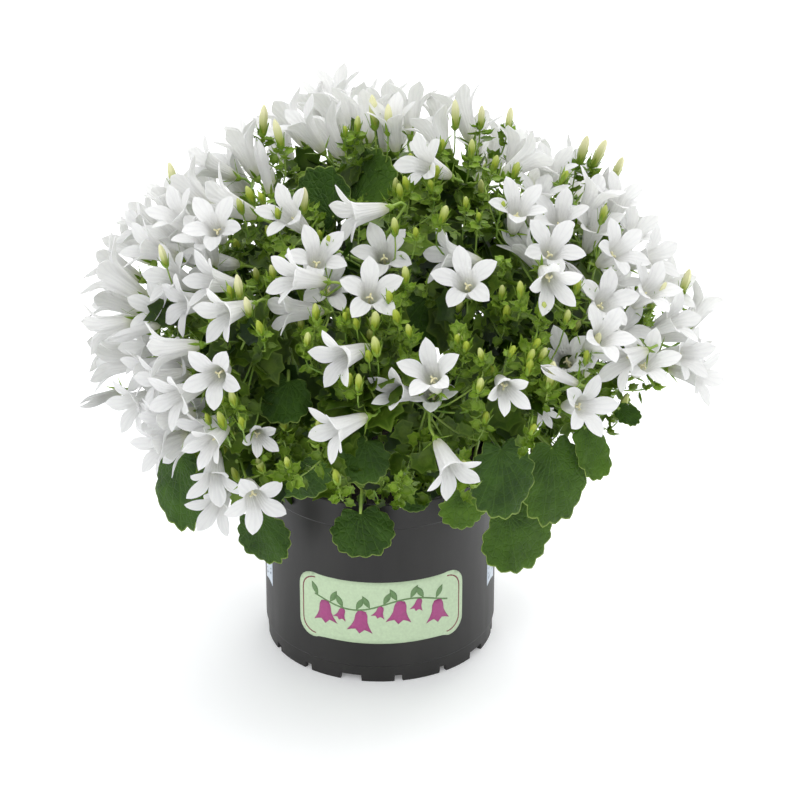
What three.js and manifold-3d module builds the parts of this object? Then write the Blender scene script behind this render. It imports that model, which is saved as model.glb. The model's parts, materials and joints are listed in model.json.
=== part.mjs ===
// A white potted bellflower in a black 12 cm nursery pot, in millimetres, +Z up.
// The origin is the middle of the whole plant's width, on the surface that the pot stands on. The
// sizes below are given from the pot's own axis, which the plant leans away from a little.
import * as THREE from "three";
import { mergeVertices } from "three/addons/utils/BufferGeometryUtils.js";
import Module from "manifold-3d";

const wasm = await Module();
wasm.setup();

// Driving dimensions of the pot
const POT_RADIUS = 60.5;
const POT_HEIGHT = 104.5;
const POT_WALL = 1.5;
const POT_SIDES = 24;
const RIM_BAND = 14.4;
const RIM_PROUD = 0.7;
const FOOT_HEIGHT = 9.8;
const FOOT_SET_IN = 0.9;
const FOOT_WALL = 2.4;
const FLOOR_HEIGHT = 6;
const FLOOR_THICKNESS = 2;
const STEP_RISE = 0.6;
const TOOTH_NOTCHES = 15;
const NOTCH_HEIGHT = 3.4;
const NOTCH_WIDTH = 4;
const WIDE_NOTCH_WIDTH = 11;
const WIDE_NOTCH_EVERY = 3;
const WIDE_NOTCH_BEARING = THREE.MathUtils.degToRad(255.5);
const DRAIN_HOLES = 4;
const DRAIN_RADIUS = 4.5;
const DRAIN_CIRCLE = 34;

// Driving dimensions of the soil
const SOIL_TOP = 95;
const SOIL_LUMP = 1.4;
const HOLE_DEPTH = 9;
const CLEARANCE = 0.3;

// Driving dimensions of the plant's dome
const PLANT_LEAN = 13.5;
const DOME_CENTRE = new THREE.Vector3(9, 0, 176);
const DOME_RADII = new THREE.Vector3(163, 160, 113);
const HEART = new THREE.Vector3(6, 0, 118);

// Driving dimensions of one bloom. A closed one has a narrower mouth, and lobes that lean in.
const TUBE_LENGTH = 19;
const THROAT_DEPTH = 12.35;
const LOBES = 5;
const LOBE_LENGTH = 9.5;
const LOBE_THICKNESS = 1.1;
const LOBE_FOOT_BACK = 1.5;
const LOBE_FOOT_FRONT = 2.2;
const NOTCH_DEPTH = 1;
const CALYX_RADIUS = 2.5;
const CALYX_HEIGHT = 2.2;
const MOUTH_RADIUS = 7.2;
const CLOSED_MOUTH = 0.45;
const CLOSED_BELOW = 0.2;
const CLOSED_LEAN_IN = 3.4;
const TIP_RADIUS_LEAST = 0.8;
const CLOSED_ANGLE = THREE.MathUtils.degToRad(8);
const OPENING_ANGLE = THREE.MathUtils.degToRad(58);
const LARGEST_SCALE = 1.2;
const ROLL_STEP = 0.47;

// Driving dimensions of a cluster: its stalks, its axis, and the room between its blooms
const STALK_RADIUS = 0.75;
const SHARP_BEND = THREE.MathUtils.degToRad(60);
const BEND_LENGTH = 4;
const AXIS_RADIUS = 1.2;
const AXIS_LENGTH = 12;
const ROOTS_FROM = 0.2;
const ROOTS_SPAN = 0.7;
const HUB_DEPTH = 12;
const HIDDEN_SPACING = 22;
const SHOWN_SPACING = 24;
const HEART_OF_BLOOM = 0.8;
const MOUTH_INSET = 5;
const DEPTH_STEPS = [0, 7, -5, 14, 21, -10, 28];

// Driving dimensions of the stems, leafy sprays, leaves and buds
const STEM_RADIUS = 1.7;
const BRANCH_RADIUS = 1.1;
const STEM_FOOT = 14;
const FORK_SHARE = 0.4;
const BRANCH_END = 6;
const SPRAY_LENGTH = 50;
const LOW_SPRAY_EVERY = 2;
const LOW_SPRAY_RISE = [-0.25, 0.3];
const LOW_SPRAY_LENGTH = 68;
const SPRAY_SHARES = [1, 0.85, 0.7, 0.5];
const SPRAY_RIGHT = [0.4, 0.7];
const SPRAY_LEFT = [0.6, 0.28];
const SPRAY_ARCH = 4;
const SPRAY_SPREAD = 1.2;
const FRONT_DEPTH = [0.9, 0.05];
const INNER_DEPTH = [0.7, 0.1];
const RIB_WIDTH = 0.8;
const STEM_BOWS = [6, 12, 0, 18, -6, 24, -12, 30];
const LEAF_LENGTH = 14;
const LEAF_THICKNESS = 0.9;
const BUD_SIDES = 4;
const BUD_LENGTH = 14;
const BUD_RADIUS = 2.5;
const PETIOLE_RADIUS = 0.9;
const PETIOLE_CIRCLE = 50;
const PETIOLE_RISE = 24;
const LARGE_LEAF_TEETH = 8;
const LARGE_LEAF_THICKNESS = 0.9;
const STEM_HOLE_RADIUS = 3;
const PETIOLE_HOLE_RADIUS = 1.9;
const HOLE_SIDES = 4;
const FUSE_TOLERANCE = 0.1;

// The reference view that blooms and large leaves are placed from: a square picture taken from
// the front, looking down a little. Its distances are in millimetres, its places in pixels.
const VIEW_CENTRE_PIXEL = 400;
const VIEW_FOCAL_PIXELS = 3000;
const VIEW_DISTANCE = 1543;
const VIEW_TILT = THREE.MathUtils.degToRad(26.6);
const VIEW_TARGET = new THREE.Vector3(10.5, 0, 133);

// The blooms that the reference view shows, in clusters. Each bloom has the pixel where its stalk
// meets it, the pixel of its open mouth, how far it has opened, from 0 for a bud to 1, and, where
// one stands behind another, how far back it is.
const SHOWN_CLUSTERS = {
  left_crown: [
    [235, 176, 203, 163, 0.7],
    [255, 175, 238, 140, 0.6],
    [270, 193, 261, 156, 0.1],
    [258, 217, 216, 199, 0.7],
    [178, 225, 162, 192, 0.6],
    [215, 212, 186, 185, 0.7],
  ],
  left_upper: [
    [165, 238, 132, 224, 0.7],
    [222, 240, 215, 226, 0.9],
    [178, 258, 144, 246, 0.6],
    [235, 262, 200, 258, 0.7],
    [198, 236, 176, 214, 0.7],
  ],
  left_far: [
    [148, 300, 108, 274, 0.8],
    [240, 286, 207, 280, 0.7],
    [213, 299, 178, 303, 1],
    [133, 320, 93, 329, 0.7],
    [158, 324, 124, 336, 0.1],
  ],
  left_low: [
    [200, 345, 160, 350, 0.7],
    [145, 360, 102, 362, 0.6],
    [118, 391, 92, 401, 0.05],
    [187, 372, 152, 382, 0.7],
    [203, 385, 174, 398, 0.8],
    [172, 360, 136, 370, 0.6],
  ],
  left_inner: [
    [252, 304, 222, 315, 0.7],
    [226, 368, 214, 377, 0.95],
  ],
  left_hem: [
    [186, 434, 154, 448, 0.6],
    [190, 418, 155, 426, 0.6],
    [227, 416, 198, 433, 0.7],
    [226, 428, 210, 444, 0.3],
  ],
  front_left_hem: [
    [250, 430, 257, 438, 0.7],
    [213, 452, 212, 482, 0.8],
    [226, 486, 213, 510, 0.7],
    [246, 482, 256, 502, 1],
  ],
  top_left: [
    [306, 146, 285, 113, 0.6],
    [322, 150, 301, 122, 0.7],
    [342, 155, 322, 120, 0.6],
    [345, 142, 327, 96, 0.7, 26],
  ],
  top_middle: [
    [356, 136, 350, 99, 0.6],
    [368, 144, 368, 106, 0.6],
    [396, 150, 391, 117, 0.6, 6],
    [384, 148, 381, 116, 0.05],
  ],
  top_right: [
    [450, 160, 432, 122, 0.7],
    [450, 174, 422, 163, 1],
    [472, 142, 459, 102, 0.6],
  ],
  right_crown: [
    [500, 178, 534, 155, 0.7],
    [514, 230, 519, 206, 0.8],
    [560, 240, 560, 214, 0.8],
    [544, 264, 553, 248, 1],
    [546, 268, 524, 242, 0.4],
    [543, 268, 552, 285, 0.6],
  ],
  right_upper: [
    [590, 248, 598, 222, 0.7],
    [608, 226, 621, 198, 0.8],
    [600, 264, 620, 250, 0.9],
    [602, 206, 608, 180, 0.05],
    [628, 264, 656, 256, 0.8],
  ],
  right_far: [
    [632, 306, 652, 288, 0.8],
    [592, 314, 607, 300, 1],
    [682, 333, 705, 302, 0.7],
    [650, 332, 678, 318, 0.8],
    [600, 296, 578, 272, 0.1],
  ],
  right_low: [
    [586, 350, 604, 335, 0.8],
    [638, 374, 649, 360, 0.9],
    [648, 350, 620, 362, 0.6],
    [672, 369, 702, 376, 0.8],
    [664, 354, 690, 355, 0.7, 8],
    [590, 374, 600, 348, 0.1],
  ],
  centre_left: [
    [313, 274, 318, 256, 0.9],
    [321, 296, 329, 282, 1],
    [326, 282, 291, 278, 0.7],
    [322, 310, 284, 309, 0.7],
  ],
  centre_top: [
    [388, 207, 351, 215, 0.8],
    [306, 230, 286, 212, 0.8],
    [368, 305, 371, 291, 1],
    [385, 263, 383, 250, 0.8],
  ],
  centre_right: [
    [472, 294, 465, 280, 1],
    [482, 260, 445, 252, 0.8],
  ],
  front_left: [
    [368, 347, 338, 359, 0.8],
    [366, 417, 332, 431, 0.8],
  ],
  front_middle: [
    [438, 390, 430, 372, 0.8],
    [437, 404, 432, 390, 0.6],
    [414, 395, 394, 392, 0.3],
    [437, 441, 453, 472, 0.8],
  ],
  front_right: [
    [500, 378, 507, 391, 0.9],
    [566, 406, 587, 407, 0.9],
    [577, 383, 552, 372, 0.1],
    [575, 367, 567, 356, 0.6],
    [540, 402, 548, 414, 0.4],
  ],
};

// The clusters round the sides and back: the bearing of each from +X, its height angle above the
// dome's middle, and the number of its blooms.
const HIDDEN_CLUSTERS = {
  back_left: [155, 12, 9],
  back_left_high: [126, 50, 8],
  back_middle: [94, 14, 9],
  back_right_high: [50, 48, 8],
  back_right: [30, 10, 9],
};
const HIDDEN_SPREAD = 38;
const HIDDEN_NARROWING = 0.72;
const HIDDEN_LEAN = 0.9;
const HIDDEN_UNEVEN = 6;
const GOLDEN_TURN = 2.4;
const HIDDEN_SHARE = new THREE.Vector3(0.92, 1.03, 0.88);

// The leafy stems: where each stands in the soil, as a bearing and a distance from the pot's axis,
// the clusters at the ends of its branches, and the number of its leafy sprays.
const STEMS = {
  left_high: [170, 26, ["left_crown", "left_upper"], 2],
  left_middle: [190, 34, ["left_far", "left_inner"], 2],
  left_low: [214, 40, ["left_low", "left_hem"], 1],
  front_left: [242, 40, ["front_left_hem", "front_left"], 3],
  top_left: [205, 14, ["top_left", "centre_left"], 2],
  top_middle: [275, 8, ["top_middle", "centre_top"], 2],
  top_right: [340, 18, ["top_right", "centre_right"], 3],
  right_high: [0, 28, ["right_crown", "right_upper"], 2],
  right_low: [340, 38, ["right_far", "right_low"], 2],
  front_middle: [290, 38, ["front_middle", "front_right"], 4],
  back_left: [150, 38, ["back_left", "back_left_high"], 2],
  back_middle: [95, 36, ["back_middle"], 2],
  back_right: [40, 36, ["back_right", "back_right_high"], 2],
};

// The large round leaves: where the blade meets its petiole and where its tip is, each as a pixel
// of the reference view and a distance behind (+) or before (-) the pot's axis, then its width,
// and the bearing of its petiole's foot in the soil.
const LARGE_LEAVES = {
  pot_front: [360, 510, -66, 366, 559, -76, 34, 262],
  pot_left: [259, 513, -58, 268, 566, -60, 31, 226],
  left_outer: [180, 452, -60, 176, 532, -66, 22, 200],
  left_under: [292, 452, -88, 300, 501, -88, 38, 236],
  left_middle: [345, 440, -118, 322, 482, -122, 28, 253],
  left_dark: [290, 378, -96, 270, 422, -110, 32, 219],
  left_inner: [262, 330, -48, 232, 385, -72, 30, 203],
  centre: [430, 290, -60, 428, 347, -84, 38, 300],
  top_front: [352, 205, 0, 376, 150, 14, 34, 100],
  top_rear: [336, 222, -10, 306, 168, 6, 30, 130],
  right_front: [496, 446, -114, 503, 514, -118, 34, 297],
  right_low: [464, 492, -80, 462, 530, -82, 24, 280],
  right_outer: [549, 444, -84, 556, 524, -92, 28, 318],
  right_hanging: [508, 516, -66, 540, 566, -68, 36, 305],
  right_folded: [584, 424, -78, 604, 482, -84, 20, 330],
  pot_small: [413, 488, -70, 417, 513, -76, 17, 272],
  right_small: [618, 408, -60, 640, 422, -64, 12, 342],
  rear_left: [262, 420, 66, 258, 470, 84, 34, 134],
  rear_middle: [390, 400, 72, 388, 450, 92, 36, 84],
  rear_right: [500, 425, 66, 506, 475, 84, 34, 46],
};

// A random draw that gives the same numbers each time.
function drawsFrom(seed) {
  let state = seed;
  return () => {
    state = (state * 16807) % 2147483647;
    return state / 2147483647;
  };
}

const VIEW_FORWARD = new THREE.Vector3(0, Math.cos(VIEW_TILT), -Math.sin(VIEW_TILT));
const VIEW_RIGHT = new THREE.Vector3(1, 0, 0);
const VIEW_UP = new THREE.Vector3(0, Math.sin(VIEW_TILT), Math.cos(VIEW_TILT));
const VIEW_EYE = VIEW_TARGET.clone().addScaledVector(VIEW_FORWARD, -VIEW_DISTANCE);

// The direction of sight through a pixel of the reference view.
function sight(pixelX, pixelY) {
  return VIEW_FORWARD.clone()
    .addScaledVector(VIEW_RIGHT, (pixelX - VIEW_CENTRE_PIXEL) / VIEW_FOCAL_PIXELS)
    .addScaledVector(VIEW_UP, (VIEW_CENTRE_PIXEL - pixelY) / VIEW_FOCAL_PIXELS);
}

// The point where a pixel's line of sight meets the dome, or comes nearest to it past its edge.
function onDome(pixelX, pixelY, inset) {
  const radii = DOME_RADII.clone().subScalar(inset);
  const start = VIEW_EYE.clone().sub(DOME_CENTRE).divide(radii);
  const way = sight(pixelX, pixelY).divide(radii);
  const middle = -start.dot(way) / way.lengthSq();
  const gap = start.clone().addScaledVector(way, middle).lengthSq();
  const back = gap < 1 ? Math.sqrt((1 - gap) / way.lengthSq()) : 0;
  return VIEW_EYE.clone().addScaledVector(sight(pixelX, pixelY), middle - back);
}

// The point on a pixel's line of sight at a given distance in front of or behind the pot's axis.
function atDepth(pixelX, pixelY, y) {
  const way = sight(pixelX, pixelY);
  return VIEW_EYE.clone().addScaledVector(way, (y - VIEW_EYE.y) / way.y);
}

// A closed surface that is put together ring by ring.
class Skin {
  points = [];
  faces = [];

  ring(points) {
    return points.map((point) => this.points.push(point.clone()) - 1);
  }

  face(a, b, c) {
    this.faces.push([a, b, c]);
  }

  // Joins two rings that turn the same way, whatever their numbers of points.
  join(low, high) {
    const lowSteps = low.length === 1 ? 0 : low.length;
    const highSteps = high.length === 1 ? 0 : high.length;
    let i = 0;
    let j = 0;
    while (i < lowSteps || j < highSteps) {
      const a = low[i % low.length];
      const b = high[j % high.length];
      if (j === highSteps || (i < lowSteps && (i + 1) * highSteps <= (j + 1) * lowSteps)) {
        this.face(a, low[(i + 1) % low.length], b);
        i += 1;
      } else {
        this.face(a, high[(j + 1) % high.length], b);
        j += 1;
      }
    }
  }

  // Closes a ring with a fan to one of its own points.
  close(ring, atTop) {
    for (let k = 1; k + 1 < ring.length; k += 1) {
      if (atTop) this.face(ring[0], ring[k], ring[k + 1]);
      else this.face(ring[0], ring[k + 1], ring[k]);
    }
  }

  solid() {
    const made = new wasm.Manifold(
      new wasm.Mesh({
        numProp: 3,
        vertProperties: new Float32Array(this.points.flatMap((point) => point.toArray())),
        triVerts: new Uint32Array(this.faces.flat()),
      }),
    );
    if (made.volume() <= 0) throw new Error("a skin is inside out");
    return made;
  }
}

// Points of a circle round an axis, starting towards the given side.
function circle(centre, side, across, radius, count) {
  return Array.from({ length: count }, (_, k) => {
    const turn = (2 * Math.PI * k) / count;
    return centre
      .clone()
      .addScaledVector(side, radius * Math.cos(turn))
      .addScaledVector(across, radius * Math.sin(turn));
  });
}

// Two directions at right angles to a given one and to each other, turned by an angle.
function sidesOf(direction, turn = 0) {
  const helper =
    Math.abs(direction.z) < 0.8 ? new THREE.Vector3(0, 0, 1) : new THREE.Vector3(1, 0, 0);
  const side = helper.cross(direction).normalize().applyAxisAngle(direction, turn);
  return [side, direction.clone().cross(side)];
}

// The rings of a round rod along a path, each square to the path and with no twist.
function rodRings(path, radii, count, firstSide) {
  let side = firstSide;
  return path.map((point, k) => {
    const before = path[Math.max(0, k - 1)];
    const after = path[Math.min(path.length - 1, k + 1)];
    const ahead = after.clone().sub(before).normalize();
    side = side.clone().addScaledVector(ahead, -side.dot(ahead)).normalize();
    return circle(point, side, ahead.clone().cross(side), radii[k], count);
  });
}

// A solid rod along a path, from one radius to another.
function rod(path, radiusFrom, radiusTo, count) {
  const radii = path.map((_, k) => radiusFrom + ((radiusTo - radiusFrom) * k) / (path.length - 1));
  const [side] = sidesOf(path[1].clone().sub(path[0]).normalize());
  const skin = new Skin();
  const rings = rodRings(path, radii, count, side).map((points) => skin.ring(points));
  for (let k = 0; k + 1 < rings.length; k += 1) skin.join(rings[k], rings[k + 1]);
  skin.close(rings[0], false);
  skin.close(rings.at(-1), true);
  return skin.solid();
}

// One bloom on its stalk: a tube that widens to a mouth of five pointed lobes, with the throat
// sunk in. The stalk runs from its root on the cluster's axis and bends into the bloom's line.
function bloomSolid({ root, base, direction, scale, open, roll }) {
  const skin = new Skin();
  const [side, across] = sidesOf(direction, roll);
  const at = (radius, turn, along) =>
    base
      .clone()
      .addScaledVector(direction, along * scale)
      .addScaledVector(side, radius * scale * Math.cos(turn))
      .addScaledVector(across, radius * scale * Math.sin(turn));
  const fifth = (2 * Math.PI) / LOBES;
  const angle = CLOSED_ANGLE + OPENING_ANGLE * open;
  const mouth = MOUTH_RADIUS * THREE.MathUtils.lerp(CLOSED_MOUTH, 1, Math.min(1, open * 2));
  const leanIn = open < CLOSED_BELOW ? CLOSED_LEAN_IN : 0;
  const tipRadius = Math.max(TIP_RADIUS_LEAST, mouth + LOBE_LENGTH * Math.sin(angle) - leanIn);
  const tipHeight = TUBE_LENGTH + LOBE_LENGTH * Math.cos(angle);
  const path = [root, base];
  if (base.clone().sub(root).angleTo(direction) > SHARP_BEND) {
    path.splice(1, 0, base.clone().addScaledVector(direction, -BEND_LENGTH));
  }
  const radii = path.map(() => STALK_RADIUS);
  const rings = rodRings(path, radii, 3, side).map((points) => skin.ring(points));
  const calyxRadius = CALYX_RADIUS * scale;
  const calyx = skin.ring(circle(at(0, 0, CALYX_HEIGHT), side, across, calyxRadius, LOBES));
  const outer = [];
  const inner = [];
  const tips = [];
  for (let k = 0; k < LOBES; k += 1) {
    const notch = skin.ring([at(mouth, fifth * k, TUBE_LENGTH - NOTCH_DEPTH)])[0];
    const middle = fifth * (k + 0.5);
    const back = at(mouth + LOBE_THICKNESS / 2, middle, TUBE_LENGTH + LOBE_FOOT_BACK);
    const front = at(mouth - LOBE_THICKNESS / 2, middle, TUBE_LENGTH + LOBE_FOOT_FRONT);
    outer.push(notch, skin.ring([back])[0]);
    inner.push(notch, skin.ring([front])[0]);
    tips.push(skin.ring([at(tipRadius, middle, tipHeight)])[0]);
  }
  const throat = skin.ring([at(0, 0, TUBE_LENGTH - THROAT_DEPTH)])[0];
  skin.close(rings[0], false);
  for (let k = 0; k + 1 < rings.length; k += 1) skin.join(rings[k], rings[k + 1]);
  skin.join(rings.at(-1), calyx);
  skin.join(calyx, outer);
  for (let k = 0; k < LOBES; k += 1) {
    const next = (2 * k + 2) % (2 * LOBES);
    skin.face(outer[2 * k], outer[2 * k + 1], tips[k]);
    skin.face(outer[2 * k + 1], outer[next], tips[k]);
    skin.face(inner[2 * k + 1], inner[2 * k], tips[k]);
    skin.face(inner[next], inner[2 * k + 1], tips[k]);
    skin.face(inner[2 * k], inner[2 * k + 1], throat);
    skin.face(inner[2 * k + 1], inner[next], throat);
  }
  return skin.solid();
}

// The place of a bloom that the reference view shows, some way behind or before the dome.
function shownBloom([baseX, baseY, mouthX, mouthY, open], back, index) {
  const mouth = onDome(mouthX, mouthY, MOUTH_INSET).addScaledVector(VIEW_FORWARD, back);
  const depth = mouth.clone().sub(VIEW_EYE).dot(VIEW_FORWARD);
  const size = depth / VIEW_FOCAL_PIXELS;
  const inPicture = VIEW_RIGHT.clone()
    .multiplyScalar((mouthX - baseX) * size)
    .addScaledVector(VIEW_UP, (baseY - mouthY) * size);
  const scale = THREE.MathUtils.clamp(inPicture.length() / TUBE_LENGTH, 1, LARGEST_SCALE);
  const tube = TUBE_LENGTH * scale;
  const towards = Math.sqrt(Math.max(0, tube * tube - inPicture.lengthSq()));
  const direction = inPicture.addScaledVector(VIEW_FORWARD, -towards).normalize();
  const base = mouth.clone().addScaledVector(direction, -tube);
  return { base, direction, scale, open, roll: index * ROLL_STEP };
}

// The blooms of a cluster out of the reference view's sight, spread evenly over its patch.
function hiddenBlooms([bearing, height, count], seed) {
  const draw = drawsFrom(seed);
  return Array.from({ length: count }, (_, k) => {
    const turn = k * GOLDEN_TURN;
    const reach = HIDDEN_SPREAD * Math.sqrt((k + 0.3) / count);
    const yaw = THREE.MathUtils.degToRad(bearing + reach * Math.cos(turn) * HIDDEN_NARROWING);
    const lift = THREE.MathUtils.degToRad(height + reach * Math.sin(turn));
    const normal = new THREE.Vector3(
      Math.cos(lift) * Math.cos(yaw),
      Math.cos(lift) * Math.sin(yaw),
      Math.sin(lift),
    );
    const mouth = normal
      .clone()
      .multiply(DOME_RADII.clone().subScalar(MOUTH_INSET + HIDDEN_UNEVEN * draw()))
      .multiply(HIDDEN_SHARE)
      .add(DOME_CENTRE);
    const lean = new THREE.Vector3(draw() - 0.5, draw() - 0.5, draw() - 0.1);
    const direction = normal.addScaledVector(lean, HIDDEN_LEAN).normalize();
    const base = mouth.clone().addScaledVector(direction, -TUBE_LENGTH);
    return { base, direction, scale: 1, open: 0.5 + 0.5 * draw(), roll: 6 * draw() };
  });
}

// How far a bloom stands from the nearest of those already placed.
function room(bloom, placed) {
  const heart = ({ base, direction, scale }) =>
    base.clone().addScaledVector(direction, TUBE_LENGTH * HEART_OF_BLOOM * scale);
  const own = heart(bloom);
  return Math.min(Infinity, ...placed.map((other) => heart(other).distanceTo(own)));
}

// All clusters by name, each with its blooms and the point where its axis starts. A shown bloom
// steps back or forward along the line of sight until it has room. One of the sides and back that
// would crowd those already placed is left out.
function clusters() {
  const placed = [];
  const place = (bloom) => {
    placed.push(bloom);
    return bloom;
  };
  const all = Object.entries(SHOWN_CLUSTERS).map(([name, rows]) => [
    name,
    rows.map((row, index) => {
      const choices = DEPTH_STEPS.map((step) => shownBloom(row, (row[5] ?? 0) + step, index));
      const free = choices.map((bloom) => room(bloom, placed));
      const first = free.findIndex((distance) => distance > SHOWN_SPACING);
      return place(choices[first < 0 ? free.indexOf(Math.max(...free)) : first]);
    }),
  ]);
  Object.entries(HIDDEN_CLUSTERS).forEach(([name, row], index) => {
    const blooms = hiddenBlooms(row, 101 + index);
    const kept = blooms.filter((bloom) => room(bloom, placed) > HIDDEN_SPACING);
    all.push([name, kept.map(place)]);
  });
  return all.map(([name, blooms]) => {
    const middle = new THREE.Vector3();
    blooms.forEach(({ base }) => middle.addScaledVector(base, 1 / blooms.length));
    const inward = HEART.clone().sub(middle).normalize();
    return { name, blooms, inward, hub: middle.addScaledVector(inward, HUB_DEPTH) };
  });
}

// A cluster: its short axis, with the stalks of its blooms sunk in one above the other.
function clusterSolid({ blooms, inward, hub }) {
  const top = hub.clone().addScaledVector(inward, -AXIS_LENGTH);
  const axis = rod([hub, top], AXIS_RADIUS, AXIS_RADIUS * 0.8, 3);
  return blooms.reduce((sum, bloom, k) => {
    const root = hub.clone().lerp(top, ROOTS_FROM + (ROOTS_SPAN * k) / blooms.length);
    return sum.add(bloomSolid({ root, ...bloom }));
  }, axis);
}

// A thin blade between its outline and a raised middle, split alike on both faces. Its length
// lies along one direction, its upper face looks along another, and its edges droop by cup.
function bladeSolid({ base, along, facing, outline, middle, thickness, cup }) {
  const across = facing.clone().cross(along).normalize();
  const normal = along.clone().cross(across).normalize();
  const skin = new Skin();
  const at = ([u, v], side) =>
    base
      .clone()
      .addScaledVector(along, u)
      .addScaledVector(across, v)
      .addScaledVector(normal, (side * thickness) / 2 - cup * (v * v + 0.5 * u * u));
  const edge = skin.ring(outline.map((point) => at(point, 0)));
  const upper = middle.map((ring) => skin.ring(ring.map((point) => at(point, 1))));
  const lower = middle.map((ring) => skin.ring(ring.map((point) => at(point, -1))));
  [edge, ...upper].forEach((ring, k, rings) => {
    if (k > 0) skin.join(rings[k - 1], ring);
  });
  const twins = new Map(upper.flat().map((index, k) => [index, lower.flat()[k]]));
  const twin = (index) => twins.get(index) ?? index;
  skin.faces.push(...skin.faces.map(([a, b, c]) => [twin(a), twin(c), twin(b)]));
  return skin.solid();
}

// One small leaf as five points of its spray's outline, from its foot on the rib round its tip.
function leafOutline(foot, side) {
  const length = LEAF_LENGTH;
  return [
    [foot, side * RIB_WIDTH],
    [foot + 0.08 * length, side * 0.46 * length],
    [foot + 0.62 * length, side * 0.86 * length],
    [foot + 0.66 * length, side * 0.36 * length],
    [foot + 0.3 * length, side * RIB_WIDTH],
  ];
}

// A leafy spray: a rib with leaves left and right, as one thin blade arched along its length.
function spraySolid(start, line, share, turn) {
  const length = line.length() * share;
  const along = line.clone().normalize();
  const [across, normal] = sidesOf(along, turn);
  const outline = [
    [0, -RIB_WIDTH],
    ...SPRAY_RIGHT.flatMap((part) => leafOutline(part * length, -1)),
    [length, -RIB_WIDTH],
    [length, RIB_WIDTH],
    ...SPRAY_LEFT.flatMap((part) => leafOutline(part * length, 1).toReversed()),
    [0, RIB_WIDTH],
  ];
  const skin = new Skin();
  const face = (side) =>
    skin.ring(
      outline.map(([u, v]) =>
        start
          .clone()
          .addScaledVector(along, u)
          .addScaledVector(across, v)
          .addScaledVector(
            normal,
            SPRAY_ARCH * Math.sin((Math.PI * u) / length) + 0.5 * side * LEAF_THICKNESS,
          ),
      ),
    );
  const lower = face(-1);
  const upper = face(1);
  const flat = outline.map(([u, v]) => new THREE.Vector2(u, v));
  THREE.ShapeUtils.triangulateShape(flat, []).forEach(([a, b, c]) => {
    skin.face(upper[a], upper[b], upper[c]);
    skin.face(lower[a], lower[c], lower[b]);
  });
  skin.join(lower, upper);
  return skin.solid();
}

// A closed bud from its foot, pointing along a direction.
function budSolid(foot, along) {
  const [side, across] = sidesOf(along);
  const belly = foot.clone().addScaledVector(along, BUD_LENGTH * 0.4);
  const skin = new Skin();
  const low = skin.ring([foot]);
  const waist = skin.ring(circle(belly, side, across, BUD_RADIUS, BUD_SIDES));
  const tip = skin.ring([foot.clone().addScaledVector(along, BUD_LENGTH)]);
  skin.join(low, waist);
  skin.join(waist, tip);
  return skin.solid();
}

// The outline of a round leaf with a heart-shaped base and a toothed edge, from its petiole.
function roundOutline(length, width) {
  const count = LARGE_LEAF_TEETH * 2;
  const points = [[0.03 * length, 0]];
  for (let k = 0; k < count; k += 1) {
    const turn = THREE.MathUtils.degToRad(-163 + (326 * k) / (count - 1));
    const tooth = k % 2 === 0 ? 1 : 0.93;
    const u = 0.45 * length + 0.55 * length * tooth * Math.cos(turn);
    points.push([u, 0.5 * width * tooth * Math.sin(turn)]);
  }
  return points;
}

// A point on the soil's circle of stems and petioles.
function footOn(bearing, distance, height) {
  const turn = THREE.MathUtils.degToRad(bearing);
  return new THREE.Vector3(distance * Math.cos(turn), distance * Math.sin(turn), height);
}

const HOLE_FLOOR = SOIL_TOP - HOLE_DEPTH;

// A large leaf: its petiole arches from the soil over the rim to the notch of the round blade.
function largeLeafSolid([notchX, notchY, notchBack, tipX, tipY, tipBack, width, bearing]) {
  const notch = atDepth(notchX, notchY, notchBack);
  const tip = atDepth(tipX, tipY, tipBack);
  const along = tip.clone().sub(notch).normalize();
  const length = tip.distanceTo(notch);
  const facing = notch.clone().sub(HEART).setZ(30).normalize();
  const blade = bladeSolid({
    base: notch,
    along,
    facing,
    outline: roundOutline(length, width),
    middle: [
      circlePoints(0.45 * length, 0.26 * length, 0.26 * width, 4),
      [[0.45 * length, 0]],
    ],
    thickness: LARGE_LEAF_THICKNESS,
    cup: 0.004,
  });
  const foot = footOn(bearing, PETIOLE_CIRCLE, HOLE_FLOOR + CLEARANCE);
  const above = footOn(bearing, PETIOLE_CIRCLE, SOIL_TOP + 2);
  const arch = footOn(bearing, PETIOLE_CIRCLE + 7, Math.max(notch.z, POT_HEIGHT) + PETIOLE_RISE);
  const end = notch.clone().addScaledVector(along, 0.1 * length);
  const bow = new THREE.QuadraticBezierCurve3(above, arch, end).getPoints(3);
  return blade.add(rod([foot, ...bow], PETIOLE_RADIUS, PETIOLE_RADIUS, 3));
}

// Points of an ellipse in a blade's plane, in the order of its outline.
function circlePoints(centre, alongRadius, acrossRadius, count) {
  return Array.from({ length: count }, (_, k) => {
    const turn = THREE.MathUtils.degToRad(-180) + (2 * Math.PI * k) / count;
    return [centre + alongRadius * Math.cos(turn), acrossRadius * Math.sin(turn)];
  });
}

// How far out from the plant's heart a direction meets the dome.
function domeReach(direction) {
  const start = HEART.clone().sub(DOME_CENTRE).divide(DOME_RADII);
  const way = direction.clone().divide(DOME_RADII);
  const a = way.lengthSq();
  const b = start.dot(way);
  return (-b + Math.sqrt(b * b - a * (start.lengthSq() - 1))) / a;
}

// Whether a direction from the heart points to the front, where leaves show between few blooms.
function inGreenFront(direction) {
  const bearing = THREE.MathUtils.radToDeg(Math.atan2(direction.y, direction.x));
  return bearing > -128 && bearing < -52 && direction.z < 0.85;
}

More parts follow.
